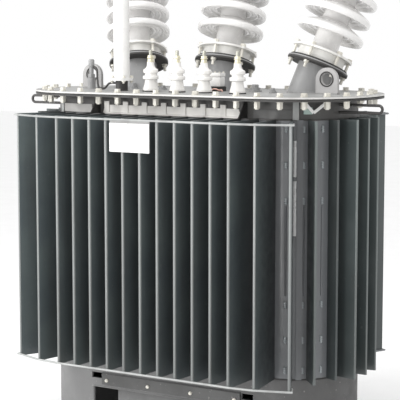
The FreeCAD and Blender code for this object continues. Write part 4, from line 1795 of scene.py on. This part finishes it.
@dataclass
class BaseDetails:
    """Bolts of the cross beams, rims of the skirt's windows and the nameplate's rivets."""

    bolts: BoltRepeater
    beads: BeadRepeater
    beam_bolts: tuple[float, ...] = (-0.335, -0.112, 0.112, 0.335)
    bolt_level: float = 0.4
    beam_weld_radius: float = 0.0035
    weld_sink: float = 0.002
    window_half: float = 0.413
    window_top: float = 0.238
    window_toe: float = 0.006
    window_rim: float = 0.004
    rivet_inset: float = 0.01
    rivet_sink: float = 0.0003

    def build(self) -> None:
        """Builds the details."""
        self.beam()
        self.skirt()
        self.plate()

    def beam(self) -> None:
        """Bolts through the front and rear beams, with a weld along each beam."""
        points = []
        weld = Shape()
        for name, side in (("front_base_beam", -1), ("rear_base_beam", 1)):
            low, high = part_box(name)
            face, back = (low.y, high.y) if side < 0 else (high.y, low.y)
            level = low.z + (high.z - low.z) * self.bolt_level
            points += [(Vector((x, face, level)), Vector((0, side, 0))) for x in self.beam_bolts]
            weld_y = back + side * self.weld_sink
            for z in (low.z, high.z):
                weld.tube([Vector((low.x, weld_y, z)), Vector((high.x, weld_y, z))], self.beam_weld_radius, 8)
        self.bolts.place(
            "beam_bolts", points, Finishes.ZINC, Slot.BRIGHT_STEEL, Head_Radius=0.0070, Head_Height=0.004,
            Shank_Radius=0.006, Below=0.03, Nut_Level=0.024, Nut_Height=0.006, Spin=1.0,
        )
        weld.piece("beam_welds", Finishes.BASE, Slot.TANK_PAINT, ROUND)

    def skirt(self) -> None:
        """Raised rim round each window of the skirt."""
        low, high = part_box("base_skirt")
        shape = Shape()
        outline = (
            (-self.window_half, self.window_toe), (-self.window_half, self.window_top),
            (self.window_half, self.window_top), (self.window_half, self.window_toe),
        )
        for side, face in ((-1, low.y), (1, high.y)):
            y = face - side * self.weld_sink
            shape.tube([Vector((x, y, z)) for x, z in outline], self.window_rim, 8)
        shape.piece("window_edges", Finishes.BASE, Slot.TANK_PAINT, ROUND)

    def plate(self) -> None:
        """Rivets at the nameplate's corners."""
        low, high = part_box("nameplate")
        points = []
        for x in (low.x + self.rivet_inset, high.x - self.rivet_inset):
            for z in (low.z + self.rivet_inset, high.z - self.rivet_inset):
                points.append((Vector((x, low.y + self.rivet_sink, z)), Vector((0, -1, 0))))
        self.beads.place(
            "plate_rivets", points, Finishes.ZINC, Slot.NAMEPLATE_METAL, Radius=0.0035, Height=0.0011,
            Spin=1.0,
        )


@dataclass
class CadFinishes:
    """Gives each CAD node that stays in view its finish."""

    finishes: dict[str, Finishes] = field(default_factory=lambda: {
        "front_fins": Finishes.FINS, "rear_fins": Finishes.REAR_FINS,
        "left_end_fins": Finishes.END_FINS, "right_end_fins": Finishes.END_FINS,
        "tank_wall": Finishes.WALL, "corner_strips": Finishes.WALL,
        # painted light on the front rods; the rear rods take the darker wall paint
        "front_fin_rods": Finishes.RODS, "rear_fin_rods": Finishes.WALL,
        "base_skirt": Finishes.BASE, "tank_floor": Finishes.BASE,
        "front_base_beam": Finishes.BEAM, "rear_base_beam": Finishes.BEAM,
        "front_skid": Finishes.BASE, "rear_skid": Finishes.BASE,
        # painted shade: the upper belt and the tank flange are painted near black for the shadow under the
        # cover
        "upper_belt": Finishes.BELT, "tank_flange": Finishes.FLANGE,
        "cover_plate": Finishes.PLATE_TOP, "cover_gasket": Finishes.RUBBER,
        "hv_turret_left": Finishes.TURRET, "hv_turret_middle": Finishes.TURRET,
        "hv_turret_right": Finishes.TURRET,
        "hv_gaskets": Finishes.RUBBER, "hv_clamp_rings": Finishes.CASTING, "lv_gaskets": Finishes.RUBBER,
        "oil_gauge_stub": Finishes.DARK, "oil_gauge_flange": Finishes.TUBE, "oil_gauge_tube": Finishes.TUBE,
        "left_lifting_lug": Finishes.LUGS, "right_lifting_lug": Finishes.LUGS,
        "left_lashing_hook": Finishes.DARK, "right_lashing_hook": Finishes.DARK,
        "earth_terminal": Finishes.PAD, "thermometer_pocket": Finishes.TURRET,
        "tap_switch_base": Finishes.RUBBER, "nameplate": Finishes.PLATE, "nameplate_bracket": Finishes.COVER,
    })

    def build(self) -> None:
        """Assigns the materials."""
        for name, node in frame["nodes"].items():
            finish = self.finishes.get(name)
            if finish is None:
                continue
            node.data.materials.clear()
            node.data.materials.append(wardrobe.get(finish))
            log.info("%s: %s", name, finish.value.name)


@dataclass(frozen=True)
class Lamp:
    """A square soft light that faces a point."""

    name: str
    place: Point
    target: Point
    size: float
    power: float

    def build(self) -> None:
        """Adds the light to the scene."""
        data = bpy.data.lights.new(self.name, "AREA")
        data.size = self.size
        data.energy = self.power
        lamp = bpy.data.objects.new(self.name, data)
        lamp.location = self.place
        lamp.rotation_euler = (Vector(self.target) - Vector(self.place)).to_track_quat("-Z", "Y").to_euler()
        bpy.context.scene.collection.objects.link(lamp)


@dataclass
class Studio:
    """Pale floor, soft lights and the camera."""

    eye: Point = (3.557, -5.794, 1.874)
    tilt: float = 83.385
    turn: float = 31.723
    lens: float = 136.3
    sensor_width: float = 36.0
    floor_size: float = 40.0
    sky: float = 1.0
    lamps: tuple[Lamp, ...] = (
        Lamp("key", (-4.2, -4.6, 3.2), (0.0, 0.0, 1.2), 2.4, 230.0),
        Lamp("low_fill", (0.2, -4.6, 0.5), (0.0, 0.0, 1.55), 1.6, 70.0),
        Lamp("top", (0.5, -1.0, 5.5), (0.0, 0.0, 1.6), 3.0, 60.0),
    )

    def build(self) -> None:
        """Sets up everything round the transformer."""
        bpy.context.scene.view_settings.view_transform = "Standard"
        self.world()
        self.floor()
        for lamp in self.lamps:
            lamp.build()
        self.camera()

    def world(self) -> None:
        """Even white light from all round."""
        world = bpy.data.worlds.new("studio")
        world.use_nodes = True
        background = world.node_tree.nodes["Background"]
        background.inputs["Color"].default_value = (1.0, 1.0, 1.0, 1.0)
        background.inputs["Strength"].default_value = self.sky
        bpy.context.scene.world = world

    def floor(self) -> None:
        """Wide pale floor."""
        half = self.floor_size / 2
        mesh = bpy.data.meshes.new("floor")
        mesh.from_pydata(
            [(-half, -half, 0), (half, -half, 0), (half, half, 0), (-half, half, 0)], [], [(0, 1, 2, 3)],
        )
        mesh.materials.append(wardrobe.get(Finishes.FLOOR))
        floor = bpy.data.objects.new("floor", mesh)
        bpy.context.scene.collection.objects.link(floor)

    def camera(self) -> None:
        """Camera that looks at the front and the right end."""
        data = bpy.data.cameras.new("camera")
        data.lens = self.lens
        data.sensor_width = self.sensor_width
        camera = bpy.data.objects.new("camera", data)
        camera.location = self.eye
        camera.rotation_euler = (math.radians(self.tilt), 0.0, math.radians(self.turn))
        bpy.context.scene.collection.objects.link(camera)
        bpy.context.scene.camera = camera


def main() -> None:
    """Builds every sub-assembly in order."""
    logging.basicConfig(level=logging.INFO, format="%(message)s")
    bolts = BoltRepeater("bolt_on_points")
    beads = BeadRepeater("bead_on_points")
    builders: list[Callable[[], None]] = [
        CadFinishes().build,
        CoverJoint(TANK, bolts).build,
        FinDetails(TANK, beads).build,
        *[HighVoltageBushing(TANK, bolts, phase).build for phase in Phase],
        LowVoltageRow(TANK).build,
        CoverFittings(TANK, bolts).build,
        BaseDetails(bolts, beads).build,
        Studio().build,
    ]
    for build in builders:
        build()


if __name__ == "__main__":
    main()
